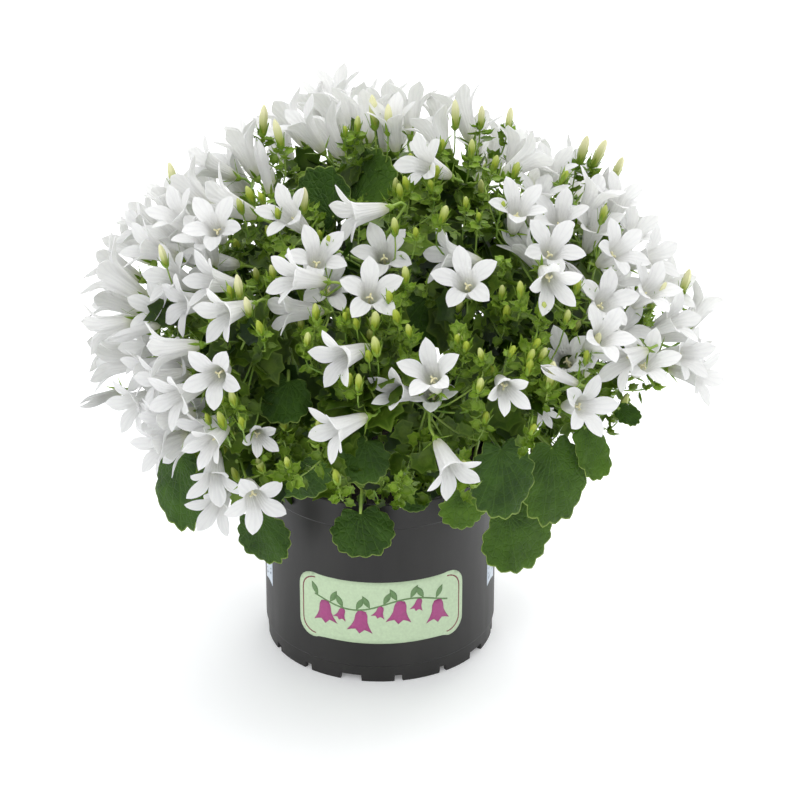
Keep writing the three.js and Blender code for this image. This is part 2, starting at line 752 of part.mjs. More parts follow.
// The trunk of a leafy stem and its branches, one to the foot of each of its clusters. They bow
// up by more or less, so that the stems pass each other.
function stemPaths([bearing, distance, feeds], hubs, bow) {
  const foot = footOn(bearing, distance, HOLE_FLOOR + CLEARANCE);
  const knee = footOn(bearing, distance, HOLE_FLOOR + STEM_FOOT);
  const ends = feeds.map((name) => hubs.get(name));
  const middle = new THREE.Vector3();
  ends.forEach(({ hub }) => middle.addScaledVector(hub, 1 / ends.length));
  const fork = knee.clone().lerp(middle, FORK_SHARE);
  fork.z += bow;
  const branches = ends.map(({ hub, inward }) => {
    const seat = hub.clone().addScaledVector(inward, CLEARANCE + 0.05);
    const before = hub.clone().addScaledVector(inward, BRANCH_END);
    const mid = fork.clone().lerp(before, 0.5);
    mid.z += 0.6 * bow;
    return [fork, mid, before, seat];
  });
  return { trunk: [foot, knee, fork], branches };
}

// A leafy stem: trunk, branches, and leafy sprays that end in a bud. Every second spray leaves the
// trunk and hangs out low. A spray that would touch a neighbour is shortened or left out.
function stemSolid(row, hubs, seed, isClear) {
  const draw = drawsFrom(seed);
  const ways = STEM_BOWS.map((bow) => {
    const { trunk, branches } = stemPaths(row, hubs, bow);
    const solid = branches.reduce(
      (sum, path) => sum.add(rod(path, BRANCH_RADIUS, BRANCH_RADIUS, 3)),
      rod(trunk, STEM_RADIUS, STEM_RADIUS * 0.8, 4),
    );
    return { trunk, branches, solid };
  });
  const chosen = ways.find(({ solid }) => isClear(solid));
  if (!chosen) throw new Error("a stem has no clear way");
  let whole = chosen.solid;
  for (let k = 0; k < row[3]; k += 1) {
    const isLow = k % LOW_SPRAY_EVERY === 1;
    const path = chosen.branches[k % chosen.branches.length];
    const [from, to] = isLow ? chosen.trunk.slice(1) : path;
    const start = from.clone().lerp(to, 0.2 + 0.8 * draw());
    const spread = new THREE.Vector3(draw() - 0.5, draw() - 0.5, draw() - 0.5);
    const outward = path.at(-1).clone().sub(HEART).normalize();
    const way = outward.addScaledVector(spread, SPRAY_SPREAD);
    if (isLow) way.setZ(THREE.MathUtils.lerp(...LOW_SPRAY_RISE, draw()));
    way.normalize();
    const [least, more] = inGreenFront(way) ? FRONT_DEPTH : INNER_DEPTH;
    const depth = least + more * draw();
    const line = HEART.clone().addScaledVector(way, domeReach(way) * depth).sub(start);
    line.setLength(Math.min(line.length(), isLow ? LOW_SPRAY_LENGTH : SPRAY_LENGTH));
    const turn = draw() * 6;
    const along = line.clone().normalize();
    const made = SPRAY_SHARES.map((share) => {
      const tip = start.clone().addScaledVector(line, share);
      return spraySolid(start, line, share, turn).add(
        budSolid(tip.addScaledVector(along, -0.15 * BUD_LENGTH), along),
      );
    });
    const fits = made.find((spray) => isClear(spray));
    if (fits) whole = whole.add(fits);
  }
  return whole;
}

// A solid turned round the pot's axis from its outline of radius and height.
function turned(outline) {
  const points = outline.map(([radius, height]) => new THREE.Vector2(radius, height));
  const lathe = new THREE.LatheGeometry([...points, points[0]], POT_SIDES);
  return solidOf(lathe.rotateX(Math.PI / 2));
}

// A closed three.js geometry as a solid.
function solidOf(geometry) {
  geometry.deleteAttribute("normal");
  geometry.deleteAttribute("uv");
  const merged = mergeVertices(geometry, 1e-4);
  return new wasm.Manifold(
    new wasm.Mesh({
      numProp: 3,
      vertProperties: merged.attributes.position.array,
      triVerts: new Uint32Array(merged.index.array),
    }),
  );
}

// The pot: foot, step, straight body, rim band and the shell's inside, with drain holes in its
// floor and notches between the teeth that it stands on.
function potSolid() {
  const foot = POT_RADIUS - FOOT_SET_IN;
  const rim = POT_RADIUS + RIM_PROUD;
  const inside = POT_RADIUS - POT_WALL;
  let pot = turned([
    [foot - FOOT_WALL, 0],
    [foot, 0],
    [foot, FOOT_HEIGHT - STEP_RISE],
    [POT_RADIUS, FOOT_HEIGHT],
    [POT_RADIUS, POT_HEIGHT - RIM_BAND],
    [rim, POT_HEIGHT - RIM_BAND + STEP_RISE],
    [rim, POT_HEIGHT],
    [inside, POT_HEIGHT],
    [inside, FLOOR_HEIGHT + FLOOR_THICKNESS],
    [0, FLOOR_HEIGHT + FLOOR_THICKNESS],
    [0, FLOOR_HEIGHT],
    [foot - FOOT_WALL, FLOOR_HEIGHT],
  ]);
  for (let k = 0; k < TOOTH_NOTCHES; k += 1) {
    const width = k % WIDE_NOTCH_EVERY === 0 ? WIDE_NOTCH_WIDTH : NOTCH_WIDTH;
    const bar = new THREE.BoxGeometry(5 * FOOT_WALL, width, 2 * NOTCH_HEIGHT);
    bar.translate(POT_RADIUS - 1, 0, 0);
    bar.rotateZ((2 * Math.PI * k) / TOOTH_NOTCHES + WIDE_NOTCH_BEARING);
    pot = pot.subtract(solidOf(bar));
  }
  for (let k = 0; k < DRAIN_HOLES; k += 1) {
    const drill = new THREE.CylinderGeometry(DRAIN_RADIUS, DRAIN_RADIUS, 3 * FLOOR_HEIGHT, 6);
    drill.rotateX(Math.PI / 2);
    const turn = (2 * Math.PI * k) / DRAIN_HOLES;
    drill.translate(DRAIN_CIRCLE * Math.cos(turn), DRAIN_CIRCLE * Math.sin(turn), FLOOR_HEIGHT);
    pot = pot.subtract(solidOf(drill));
  }
  return pot;
}

// The soil, a little lumpy on top, with a plain hole for each stem and petiole.
function soilSolid(holes) {
  const radius = POT_RADIUS - POT_WALL - CLEARANCE;
  const skin = new Skin();
  const ringAt = (share, height, lump) =>
    skin.ring(
      Array.from({ length: POT_SIDES }, (_, k) => {
        const turn = (2 * Math.PI * k) / POT_SIDES;
        const bump = lump * Math.sin(5 * turn + 9 * share) * Math.cos(3 * turn - 4 * share);
        return new THREE.Vector3(
          share * radius * Math.sin(turn),
          -share * radius * Math.cos(turn),
          height + bump,
        );
      }),
    );
  const bottom = ringAt(1, FLOOR_HEIGHT + FLOOR_THICKNESS + CLEARANCE, 0);
  const edge = ringAt(1, SOIL_TOP - 1, 0);
  const half = ringAt(0.6, SOIL_TOP, SOIL_LUMP);
  const middle = skin.ring([new THREE.Vector3(0, 0, SOIL_TOP + SOIL_LUMP)]);
  skin.close(bottom, false);
  skin.join(bottom, edge);
  skin.join(edge, half);
  skin.join(half, middle);
  return holes.reduce((soil, [bearing, distance, holeRadius]) => {
    const drill = new THREE.CylinderGeometry(holeRadius, holeRadius, 2 * HOLE_DEPTH, HOLE_SIDES);
    drill.rotateX(Math.PI / 2);
    const at = footOn(bearing, distance, HOLE_FLOOR + HOLE_DEPTH);
    drill.translate(at.x, at.y, at.z);
    return soil.subtract(solidOf(drill));
  }, skin.solid());
}

// Whether a solid keeps clear of all those already placed.
function clearOf(placed) {
  return (solid) => {
    const own = solid.boundingBox();
    return placed.every((other) => {
      const box = other.boundingBox();
      const apart = [0, 1, 2].some(
        (k) => own.min[k] > box.max[k] + CLEARANCE || own.max[k] < box.min[k] - CLEARANCE,
      );
      return apart || solid.minGap(other, 2 * CLEARANCE) > CLEARANCE * 0.8;
    });
  };
}

// A fused solid without its slivers, loose scraps and sealed hollows.
function cleaned(solid) {
  const bodies = solid.asOriginal().simplify(FUSE_TOLERANCE).decompose();
  return bodies.reduce((best, body) => (body.volume() > best.volume() ? body : best));
}

// A solid as a mesh with its own material and name.
function piece(name, solid, colour, roughness) {
  const { vertProperties, triVerts } = solid.getMesh();
  const geometry = new THREE.BufferGeometry();
  geometry.setAttribute("position", new THREE.BufferAttribute(vertProperties, 3));
  geometry.setIndex(new THREE.BufferAttribute(triVerts, 1));
  geometry.computeVertexNormals();
  const material = new THREE.MeshStandardMaterial({ color: colour, roughness, metalness: 0 });
  const mesh = new THREE.Mesh(geometry, material);
  mesh.name = name;
  return mesh;
}

const bellflower = new THREE.Group();
const placed = [];
const holes = [];

const add = (name, fused, colour, roughness) => {
  const solid = cleaned(fused);
  placed.push(solid);
  bellflower.add(piece(name, solid, colour, roughness));
};

add("pot", potSolid(), 0x45413e, 0.55);

const hubs = new Map();
for (const cluster of clusters()) {
  hubs.set(cluster.name, cluster);
  add(`blooms_${cluster.name}`, clusterSolid(cluster), 0xf4f3ee, 0.6);
}

for (const [name, row] of Object.entries(LARGE_LEAVES)) {
  holes.push([row.at(-1), PETIOLE_CIRCLE, PETIOLE_HOLE_RADIUS]);
  add(`large_leaf_${name}`, largeLeafSolid(row), 0x3f6b2a, 0.5);
}

Object.entries(STEMS).forEach(([name, row], index) => {
  holes.push([row[0], row[1], STEM_HOLE_RADIUS]);
  add(`leafy_stem_${name}`, stemSolid(row, hubs, 31 + index, clearOf(placed)), 0x6f9a35, 0.55);
});

add("soil", soilSolid(holes), 0x2b211b, 0.95);

bellflower.position.x = -PLANT_LEAN;

export default bellflower;
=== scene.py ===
import json
import math

import bpy
import numpy as np
from mathutils.geometry import delaunay_2d_cdt
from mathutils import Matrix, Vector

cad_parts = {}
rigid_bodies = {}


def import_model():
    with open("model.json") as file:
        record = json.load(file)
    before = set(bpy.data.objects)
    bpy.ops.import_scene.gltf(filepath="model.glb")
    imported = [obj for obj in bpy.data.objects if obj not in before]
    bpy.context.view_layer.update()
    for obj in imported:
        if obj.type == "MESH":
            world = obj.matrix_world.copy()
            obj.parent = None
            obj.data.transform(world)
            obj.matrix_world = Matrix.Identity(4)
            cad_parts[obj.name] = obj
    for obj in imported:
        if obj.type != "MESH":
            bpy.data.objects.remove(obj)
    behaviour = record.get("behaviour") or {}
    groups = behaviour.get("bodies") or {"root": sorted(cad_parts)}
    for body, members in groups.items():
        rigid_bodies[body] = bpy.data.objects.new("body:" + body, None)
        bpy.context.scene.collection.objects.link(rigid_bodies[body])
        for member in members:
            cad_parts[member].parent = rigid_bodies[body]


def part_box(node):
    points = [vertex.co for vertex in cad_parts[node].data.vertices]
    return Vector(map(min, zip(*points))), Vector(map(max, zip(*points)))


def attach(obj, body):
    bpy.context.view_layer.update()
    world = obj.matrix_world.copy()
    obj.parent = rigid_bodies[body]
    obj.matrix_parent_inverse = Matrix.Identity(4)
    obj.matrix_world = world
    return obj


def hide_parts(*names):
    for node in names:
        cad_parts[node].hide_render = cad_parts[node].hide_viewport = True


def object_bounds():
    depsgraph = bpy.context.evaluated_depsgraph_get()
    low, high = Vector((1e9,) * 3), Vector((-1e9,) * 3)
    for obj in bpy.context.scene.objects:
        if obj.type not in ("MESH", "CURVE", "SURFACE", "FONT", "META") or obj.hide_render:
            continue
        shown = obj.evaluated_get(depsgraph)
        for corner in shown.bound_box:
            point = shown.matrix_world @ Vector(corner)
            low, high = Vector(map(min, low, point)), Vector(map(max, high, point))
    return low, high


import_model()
cad_low, cad_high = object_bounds()

# The pot: a thin shell of black polypropylene, moulded in one piece, with a plain rim band, a
# shallow step above the foot, and a foot that is cut into short teeth so that water runs out.
MM = 0.001
pot_low, pot_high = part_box("pot")
POT_AXIS = np.array([(pot_low.x + pot_high.x) / 2, (pot_low.y + pot_high.y) / 2, 0]) / MM
RIM_PROUD = 0.7
POT_RADIUS = (pot_high.x - pot_low.x) / 2 / MM - RIM_PROUD
POT_HEIGHT = pot_high.z / MM
POT_WALL = 1.5
RIM_BAND = 14.4
FOOT_HEIGHT = 9.8
FOOT_SET_IN = 0.9
FOOT_WALL = 2.4
FLOOR_HEIGHT = 6
FLOOR_THICKNESS = 2
STEP_RISE = 0.6
EDGE_ROUNDING = 0.45
POT_COLUMNS = 110
NOTCHES = 15
NOTCH_HEIGHT = 3.4
NOTCH_WIDTH = 4
WIDE_NOTCH_WIDTH = 11
WIDE_NOTCH_EVERY = 3
WIDE_NOTCH_BEARING = math.radians(255.5)
NOTCH_SIDE = math.radians(0.25)
DRAIN_HOLES = 4
DRAIN_RADIUS = 4.5
DRAIN_CIRCLE = 34
DRAIN_SIDES = 20
POT_BLACK = (0.0105, 0.0098, 0.0092, 1)
POT_DUSTY = (0.024, 0.0228, 0.0215, 1)


def in_frame(points):
    """Points in millimetres from the pot's axis, as the frame's metres."""
    return (np.asarray(points, float) + POT_AXIS) * MM


def give(mesh, values):
    """Writes a number, or a direction, for each point of a mesh under each given name."""
    for key, numbers in values.items():
        numbers = np.asarray(numbers, np.float32)
        kind = "FLOAT" if numbers.ndim == 1 else "FLOAT_VECTOR"
        field = "value" if numbers.ndim == 1 else "vector"
        attribute = mesh.attributes.get(key) or mesh.attributes.new(key, kind, "POINT")
        attribute.data.foreach_set(field, numbers.ravel())


def mesh_of(name, points, faces, values=None, edges=()):
    """A smooth mesh in the frame, with a number for each point under each given name."""
    mesh = bpy.data.meshes.new(name)
    mesh.from_pydata(in_frame(points).tolist(), list(edges), [list(map(int, f)) for f in faces])
    give(mesh, values or {})
    mesh.shade_smooth()
    return mesh


def shown(name, mesh, material=None):
    """A mesh as an object of the scene."""
    piece = bpy.data.objects.new(name, mesh)
    bpy.context.scene.collection.objects.link(piece)
    if material:
        mesh.materials.append(material)
    return piece


def step(tree, kind, feeds=None, **choices):
    """Adds a node, makes its choices, and sets or feeds its sockets by name or number."""
    node = tree.nodes.new(kind)
    for choice, value in choices.items():
        setattr(node, choice, value)
    for socket, value in (feeds or {}).items():
        if isinstance(value, bpy.types.NodeSocket):
            tree.links.new(value, node.inputs[socket])
        else:
            node.inputs[socket].default_value = value
    return node


def finish_of(name):
    """A new material, its node tree and its main shader."""
    material = bpy.data.materials.new(name)
    material.use_nodes = True
    tree = material.node_tree
    return material, tree, tree.nodes["Principled BSDF"]


def mixed(tree, share, low, high):
    """A colour between two colours or sockets, by a share."""
    return step(tree, "ShaderNodeMix", {0: share, 6: low, 7: high}, data_type="RGBA").outputs[2]


def mapped(tree, value, low, high, to_low=0, to_high=1):
    """A number moved from one range to another, and kept inside it."""
    feeds = {0: value, 1: low, 2: high, 3: to_low, 4: to_high}
    return step(tree, "ShaderNodeMapRange", feeds).outputs[0]


def grain(tree, scale, detail=3, stretch=(1, 1, 1)):
    """Noise over a piece, by its place in the frame."""
    place = step(tree, "ShaderNodeTexCoord").outputs["Object"]
    turned = step(tree, "ShaderNodeMapping", {"Vector": place, "Scale": stretch}).outputs[0]
    feeds = {"Vector": turned, "Scale": scale, "Detail": detail}
    return step(tree, "ShaderNodeTexNoise", feeds).outputs["Fac"]


def embossed(tree, shader, height, strength, distance):
    """Raises the surface a little where the height is more."""
    feeds = {"Height": height, "Strength": strength, "Distance": distance}
    bump = step(tree, "ShaderNodeBump", feeds)
    tree.links.new(bump.outputs["Normal"], shader.inputs["Normal"])


def roughened(tree, shader, scale, low, high, detail=3, stretch=(1, 1, 1)):
    """Lets a surface's roughness wander between two values."""
    wander = mapped(tree, grain(tree, scale, detail, stretch), 0.3, 0.7, low, high)
    tree.links.new(wander, shader.inputs["Roughness"])


def rounded(corners, radius, steps=2):
    """An outline with each inner corner rounded, and a point on the straight before and after."""
    points = [np.array(corners[0], float)]
    for before, corner, after in zip(corners, corners[1:], corners[2:]):
        corner = np.array(corner, float)
        back = np.array(before) - corner
        ahead = np.array(after) - corner
        reach = min(radius, 0.4 * np.linalg.norm(back), 0.4 * np.linalg.norm(ahead))
        back = back / np.linalg.norm(back) * reach
        ahead = ahead / np.linalg.norm(ahead) * reach
        points.append(corner + 1.2 * back)
        for k in range(steps + 1):
            t = k / steps
            points.append(corner + back * (1 - t) ** 2 + ahead * t**2)
        points.append(corner + 1.2 * ahead)
    points.append(np.array(corners[-1], float))
    return points


def skin_faces(rings, sides):
    """The faces of a closed skin over rings of points: its walls and its two ends."""
    faces = []
    for i in range(rings - 1):
        for j in range(sides):
            here = i * sides + j
            there = i * sides + (j + 1) % sides
            faces.append((here, there, there + sides, here + sides))
    last = (rings - 1) * sides
    return faces + [tuple(reversed(range(sides))), tuple(last + j for j in range(sides))]


def pot_outline(bottom):
    """Radius and height down the inside of the foot, up the outside and down into the pot."""
    foot = POT_RADIUS - FOOT_SET_IN
    rim = POT_RADIUS + RIM_PROUD
    inside = POT_RADIUS - POT_WALL
    return rounded(
        [
            (0, FLOOR_HEIGHT), (foot - FOOT_WALL, FLOOR_HEIGHT), (foot - FOOT_WALL, bottom),
            (foot, bottom), (foot, FOOT_HEIGHT - STEP_RISE), (POT_RADIUS, FOOT_HEIGHT),
            (POT_RADIUS, POT_HEIGHT - RIM_BAND), (rim, POT_HEIGHT - RIM_BAND + STEP_RISE),
            (rim, POT_HEIGHT), (inside, POT_HEIGHT), (inside, FLOOR_HEIGHT + FLOOR_THICKNESS),
            (0, FLOOR_HEIGHT + FLOOR_THICKNESS),
        ],
        EDGE_ROUNDING,
    )


def pot_columns():
    """The bearing of each column of the pot's wall, with the height of its foot's lower edge."""
    columns = [(2 * math.pi * k / POT_COLUMNS, 0) for k in range(POT_COLUMNS)]
    for k in range(NOTCHES):
        width = WIDE_NOTCH_WIDTH if k % WIDE_NOTCH_EVERY == 0 else NOTCH_WIDTH
        middle = (2 * math.pi * k / NOTCHES + WIDE_NOTCH_BEARING) % (2 * math.pi)
        half = width / 2 / POT_RADIUS
        columns = [(a, b if abs(a - middle) > half + NOTCH_SIDE else None) for a, b in columns]
        columns = [(a, b) for a, b in columns if b is not None]
        inner = np.linspace(middle - half, middle + half, max(3, round(width)))
        columns += [(a, NOTCH_HEIGHT) for a in inner]
        columns += [(middle - half - NOTCH_SIDE, 0), (middle + half + NOTCH_SIDE, 0)]
    return sorted(columns)


def pot_mesh():
    """The pot's wall, foot, floor and rim as one closed shell."""
    points = []
    faces = []
    columns = pot_columns()
    rows = len(pot_outline(0))
    for bearing, bottom in columns:
        for radius, height in pot_outline(bottom)[1:-1]:
            points.append((radius * math.cos(bearing), radius * math.sin(bearing), height))
    inner = rows - 2
    under = len(points)
    points += [(0, 0, FLOOR_HEIGHT), (0, 0, FLOOR_HEIGHT + FLOOR_THICKNESS)]
    for j in range(len(columns)):
        here = j * inner
        there = (j + 1) % len(columns) * inner
        faces += [(here + k, there + k, there + k + 1, here + k + 1) for k in range(inner - 1)]
        faces.append((under, there, here))
        faces.append((under + 1, here + inner - 1, there + inner - 1))
    return mesh_of("nursery_pot", points, faces)


def drained(pot):
    """Cuts the drain holes through the pot's floor."""
    points = []
    faces = []
    for k in range(DRAIN_HOLES):
        turn = 2 * math.pi * k / DRAIN_HOLES
        first = len(points)
        for height in (0, FLOOR_HEIGHT + 3 * FLOOR_THICKNESS):
            for i in range(DRAIN_SIDES):
                around = 2 * math.pi * i / DRAIN_SIDES
                x = DRAIN_CIRCLE * math.cos(turn) + DRAIN_RADIUS * math.cos(around)
                y = DRAIN_CIRCLE * math.sin(turn) + DRAIN_RADIUS * math.sin(around)
                points.append((x, y, height))
        faces += [[first + k for k in face] for face in skin_faces(2, DRAIN_SIDES)]
    drill = shown("drill", mesh_of("drill", points, faces))
    cut = pot.modifiers.new("drain", "BOOLEAN")
    cut.operation = "DIFFERENCE"
    cut.solver = "EXACT"
    cut.object = drill
    settle(pot)
    bpy.data.objects.remove(drill)


def settle(piece):
    """Makes a piece's modifiers part of its mesh, and takes them off."""
    evaluated = piece.evaluated_get(bpy.context.evaluated_depsgraph_get())
    mesh = bpy.data.meshes.new_from_object(evaluated)
    piece.modifiers.clear()
    piece.data = mesh
    mesh.name = piece.name


def pot_plastic():
    """Black moulded plastic: satin, faintly pebbled, a little dusty and with soft wipe marks."""
    material, tree, shader = finish_of("black_moulded_plastic")
    dust = mapped(tree, grain(tree, 28, 5, (1, 1, 0.35)), 0.35, 0.75)
    tree.links.new(mixed(tree, dust, POT_BLACK, POT_DUSTY), shader.inputs["Base Color"])
    roughened(tree, shader, 60, 0.38, 0.52, 4, (1, 1, 0.2))
    shader.inputs["Specular IOR Level"].default_value = 0.4
    embossed(tree, shader, grain(tree, 2600, 2), 0.25, 0.0002)
    return material


pot = shown("nursery_pot", pot_mesh(), pot_plastic())
drained(pot)
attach(pot, "root")
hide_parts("pot")

# The print on the pot: a thin in-mould label on the front, here a plain sprig of bellflowers on a
# pale green panel with a dark red line round it, and a pale care strip of plain bars on each side.
PANEL_WIDTH = 92
PANEL_LOW = 22
PANEL_HIGH = 60
PANEL_CORNER = 9
LINE_INSET = 2.2
LINE_WIDTH = 0.6
PRINT_STEP = 3
INK_THICKNESS = 0.06
FRONT_BEARING = math.radians(-89)
STRIP_BEARINGS = (math.radians(-17), math.radians(-163))
STRIP_WIDTH = 12
STRIP_LOW = 36
STRIP_HIGH = 70
STRIP_BARS = 9
BAR_MARGIN = 3
BARS_SHORT = 10
BAR_SIDE = 2
BAR_SLOPE = 3
THIN_BAR = 0.8
THICK_BAR = 1.5
SPRIG_RISE = 5
SPRIG_WAVE = 3.2
SPRIG_WAVE_LENGTH = 9.5
SPRIG_HALF = 36
SPRIG_GIRTH = 0.45
SPRIG_LEAF = 8
LARGE_BELL = 13
LARGE_BELLS_AT = (-30, -10, 10, 30)
SMALL_BELL = 7
SMALL_BELLS_AT = (-20, 0, 20)
BELL_DROP = 0.4
CORNER_STEPS = 6
PANEL_GREEN = (0.50, 0.63, 0.42, 1)
LINE_RED = (0.23, 0.055, 0.065, 1)
BELL_MAGENTA = (0.36, 0.055, 0.20, 1)
SPRIG_GREEN = (0.13, 0.24, 0.09, 1)
STRIP_BLUE = (0.55, 0.62, 0.70, 1)
BAR_GREY = (0.27, 0.31, 0.38, 1)


def printed(name, outlines, bearing, layer, colour):
    """Flat outlines of arc length and height, laid round the pot's wall as one thin coat."""
    points = []
    faces = []
    radius = POT_RADIUS + INK_THICKNESS * (layer + 1)
    for outline in outlines:
        flat = [tuple(map(float, point)) for point in outline]
        low = np.min(flat, axis=0)
        high = np.max(flat, axis=0)
        across = np.arange(low[0] + PRINT_STEP / 2, high[0], PRINT_STEP)
        up = np.arange(low[1] + PRINT_STEP / 2, high[1], PRINT_STEP)
        inner = [(float(u), float(v)) for u in across for v in up]
        around = [(k, (k + 1) % len(flat)) for k in range(len(flat))]
        spots, _, tiles, *_ = delaunay_2d_cdt(flat + inner, around, [], 1, 1e-5)
        first = len(points)
        for spot in spots:
            turn = bearing + spot[0] / POT_RADIUS
            points.append((radius * math.cos(turn), radius * math.sin(turn), spot[1]))
        faces += [[first + k for k in tile] for tile in tiles]
    piece = shown(name, mesh_of(name, points, faces), printed_ink(name, colour))
    coat = piece.modifiers.new("coat", "SOLIDIFY")
    coat.thickness = INK_THICKNESS * MM
    coat.offset = -1
    settle(piece)
    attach(piece, "root")
    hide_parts("pot")


def printed_ink(name, colour):
    """Printed ink on plastic, with a faint fleck and a satin face."""
    material, tree, shader = finish_of(name)
    fleck = mapped(tree, grain(tree, 700, 4), 0.3, 0.7)
    darker = [0.88 * c for c in colour[:3]] + [1]
    tree.links.new(mixed(tree, fleck, darker, colour), shader.inputs["Base Color"])
    roughened(tree, shader, 90, 0.36, 0.5)
    embossed(tree, shader, grain(tree, 2600, 2), 0.12, 0.0002)
    return material


def panel_outline(inset):
    """The panel: a wide rectangle with round corners."""
    half = PANEL_WIDTH / 2 - inset
    low = PANEL_LOW + inset
    high = PANEL_HIGH - inset
    corner = PANEL_CORNER - 0.5 * inset
    points = []
    corners = ((half, low, -90), (half, high, 0), (-half, high, 90), (-half, low, 180))
    for side, edge, start in corners:
        up = math.copysign(corner, edge - (low + high) / 2)
        middle = (side - math.copysign(corner, side), edge - up)
        for k in range(CORNER_STEPS + 1):
            turn = math.radians(start + 90 * k / CORNER_STEPS)
            x = middle[0] + corner * math.cos(turn)
            points.append((x, middle[1] + corner * math.sin(turn)))
    return points


def line_pieces():
    """The thin line just inside the panel's edge, in short pieces that meet end to end."""
    outer = panel_outline(LINE_INSET)
    inner = panel_outline(LINE_INSET + LINE_WIDTH)
    count = len(outer)
    return [
        (inner[k], outer[k], outer[(k + 1) % count], inner[(k + 1) % count]) for k in range(count)
    ]


def set_down(drawn, x, z, size, lean):
    """A flat drawing, sized, turned and moved to its place on the panel."""
    c, s = math.cos(lean), math.sin(lean)
    return [(x + size * (u * c - v * s), z + size * (u * s + v * c)) for u, v in drawn]


def bell_outline(x, z, size, lean):
    """A hanging bell with a waved hem of three points, in a flat drawing."""
    half = [(0.0, 0.0), (0.16, -0.03), (0.24, -0.2), (0.27, -0.5), (0.36, -0.72), (0.52, -0.98)]
    hem = [(0.34, -0.9), (0.18, -0.86), (0.0, -1.05), (-0.18, -0.86), (-0.34, -0.9)]
    return set_down(half + hem + [(-u, v) for u, v in reversed(half[1:])], x, z, size, lean)


def leaf_drawing(x, z, length, lean):
    """A slim leaf in a flat drawing."""
    turns = [k / 6 for k in range(7)]
    upper = [(t, 0.2 * math.sin(math.pi * t)) for t in turns]
    lower = [(t, -0.2 * math.sin(math.pi * t)) for t in reversed(turns[1:-1])]
    return set_down(upper + lower, x, z, length, lean)


def sprig_height(x):
    """The height of the sprig's waving stem, by the place across the panel."""
    return (PANEL_LOW + PANEL_HIGH) / 2 + SPRIG_RISE + SPRIG_WAVE * math.sin(x / SPRIG_WAVE_LENGTH)


def sprig():
    """A stem that waves across the panel, with its leaves and hanging bells."""
    strip = np.linspace(-SPRIG_HALF, SPRIG_HALF, SPRIG_HALF + 1)
    upper = [(x, sprig_height(x) + SPRIG_GIRTH) for x in strip]
    lower = [(x, sprig_height(x) - SPRIG_GIRTH) for x in reversed(strip)]
    bells = []
    for x in LARGE_BELLS_AT:
        bells.append(bell_outline(x, sprig_height(x) - BELL_DROP, LARGE_BELL, 0.12 * math.cos(x)))
    for x in SMALL_BELLS_AT:
        bells.append(bell_outline(x, sprig_height(x) - BELL_DROP, SMALL_BELL, -0.3))
    leaves = [
        leaf_drawing(x, sprig_height(x) + 0.3, SPRIG_LEAF, math.radians(62 if k % 2 else 118))
        for k, x in enumerate(range(-34, 35, 7))
    ]
    return [upper + lower] + leaves, bells


def strip_outlines():
    """A care strip, and its slanting bars."""
    half = STRIP_WIDTH / 2
    panel = [(-half, STRIP_LOW), (half, STRIP_LOW), (half, STRIP_HIGH), (-half, STRIP_HIGH)]
    bars = []
    left = -half + BAR_SIDE
    right = half - BAR_SIDE
    for k in range(STRIP_BARS):
        step_up = k * (STRIP_HIGH - STRIP_LOW - BARS_SHORT) / (STRIP_BARS - 1)
        low = STRIP_LOW + BAR_MARGIN + step_up
        end = low + BAR_SLOPE
        thick = THICK_BAR if k % 3 == 0 else THIN_BAR
        bars.append([(left, low), (right, end), (right, end + thick), (left, low + thick)])
    return panel, bars


greens, bells = sprig()
printed("label_panel", [panel_outline(0)], FRONT_BEARING, 0, PANEL_GREEN)
printed("label_line", line_pieces(), FRONT_BEARING, 1, LINE_RED)
printed("label_sprig", greens, FRONT_BEARING, 1, SPRIG_GREEN)
printed("label_bells", bells, FRONT_BEARING, 2, BELL_MAGENTA)
for side, bearing in zip(("right", "left"), STRIP_BEARINGS):
    strip, bars = strip_outlines()
    printed(f"care_strip_{side}", [strip], bearing, 0, STRIP_BLUE)
    printed(f"care_bars_{side}", bars, bearing, 1, BAR_GREY)

# The soil: dark potting mix pressed into the pot, lumpy on top, with loose crumbs of bark and peat
# lying on it, and a few pale grains.
SOIL_TOP = 95
SOIL_RINGS = 20
SOIL_COLUMNS = 72
SOIL_LUMP = 1.6
SOIL_GAP = 0.3
CRUMB_DENSITY = 60000
CRUMB_SIZES = (0.0006, 0.0021)
CRUMB_TURN = 6.3
SOIL_DARK = (0.012, 0.008, 0.006, 1)
SOIL_BROWN = (0.055, 0.034, 0.02, 1)


def soil_mesh():
    """The soil's lumpy top, its side against the pot's wall, and its flat bottom."""
    radius = POT_RADIUS - POT_WALL - SOIL_GAP
    bottom = FLOOR_HEIGHT + FLOOR_THICKNESS + SOIL_GAP
    points = [(0, 0, SOIL_TOP + 0.5)]
    faces = []
    for i in range(1, SOIL_RINGS + 1):
        share = i / SOIL_RINGS
        for j in range(SOIL_COLUMNS):
            turn = 2 * math.pi * j / SOIL_COLUMNS
            x = share * radius * math.cos(turn)
            y = share * radius * math.sin(turn)
            lump = math.sin(0.23 * x + 1) * math.cos(0.19 * y) + 0.5 * math.sin(0.61 * x - 0.53 * y)
            lump += 0.35 * math.sin(1.3 * x + 0.7 * y) * math.sin(1.1 * y - 0.4 * x)
            points.append((x, y, SOIL_TOP - share**8 + SOIL_LUMP * 0.6 * lump * (1 - share**6)))
    last = 1 + (SOIL_RINGS - 1) * SOIL_COLUMNS
    low = len(points)
    points += [(x, y, bottom) for x, y, _ in points[last:]]
    for j in range(SOIL_COLUMNS):
        following = (j + 1) % SOIL_COLUMNS
        faces.append((0, 1 + j, 1 + following))
        for i in range(SOIL_RINGS - 1):
            here = 1 + i * SOIL_COLUMNS
            there = here + SOIL_COLUMNS
            faces.append((here + j, there + j, there + following, here + following))
        faces.append((last + j, low + j, low + following, last + following))
    faces.append([low + j for j in reversed(range(SOIL_COLUMNS))])
    return mesh_of("potting_soil", points, faces)


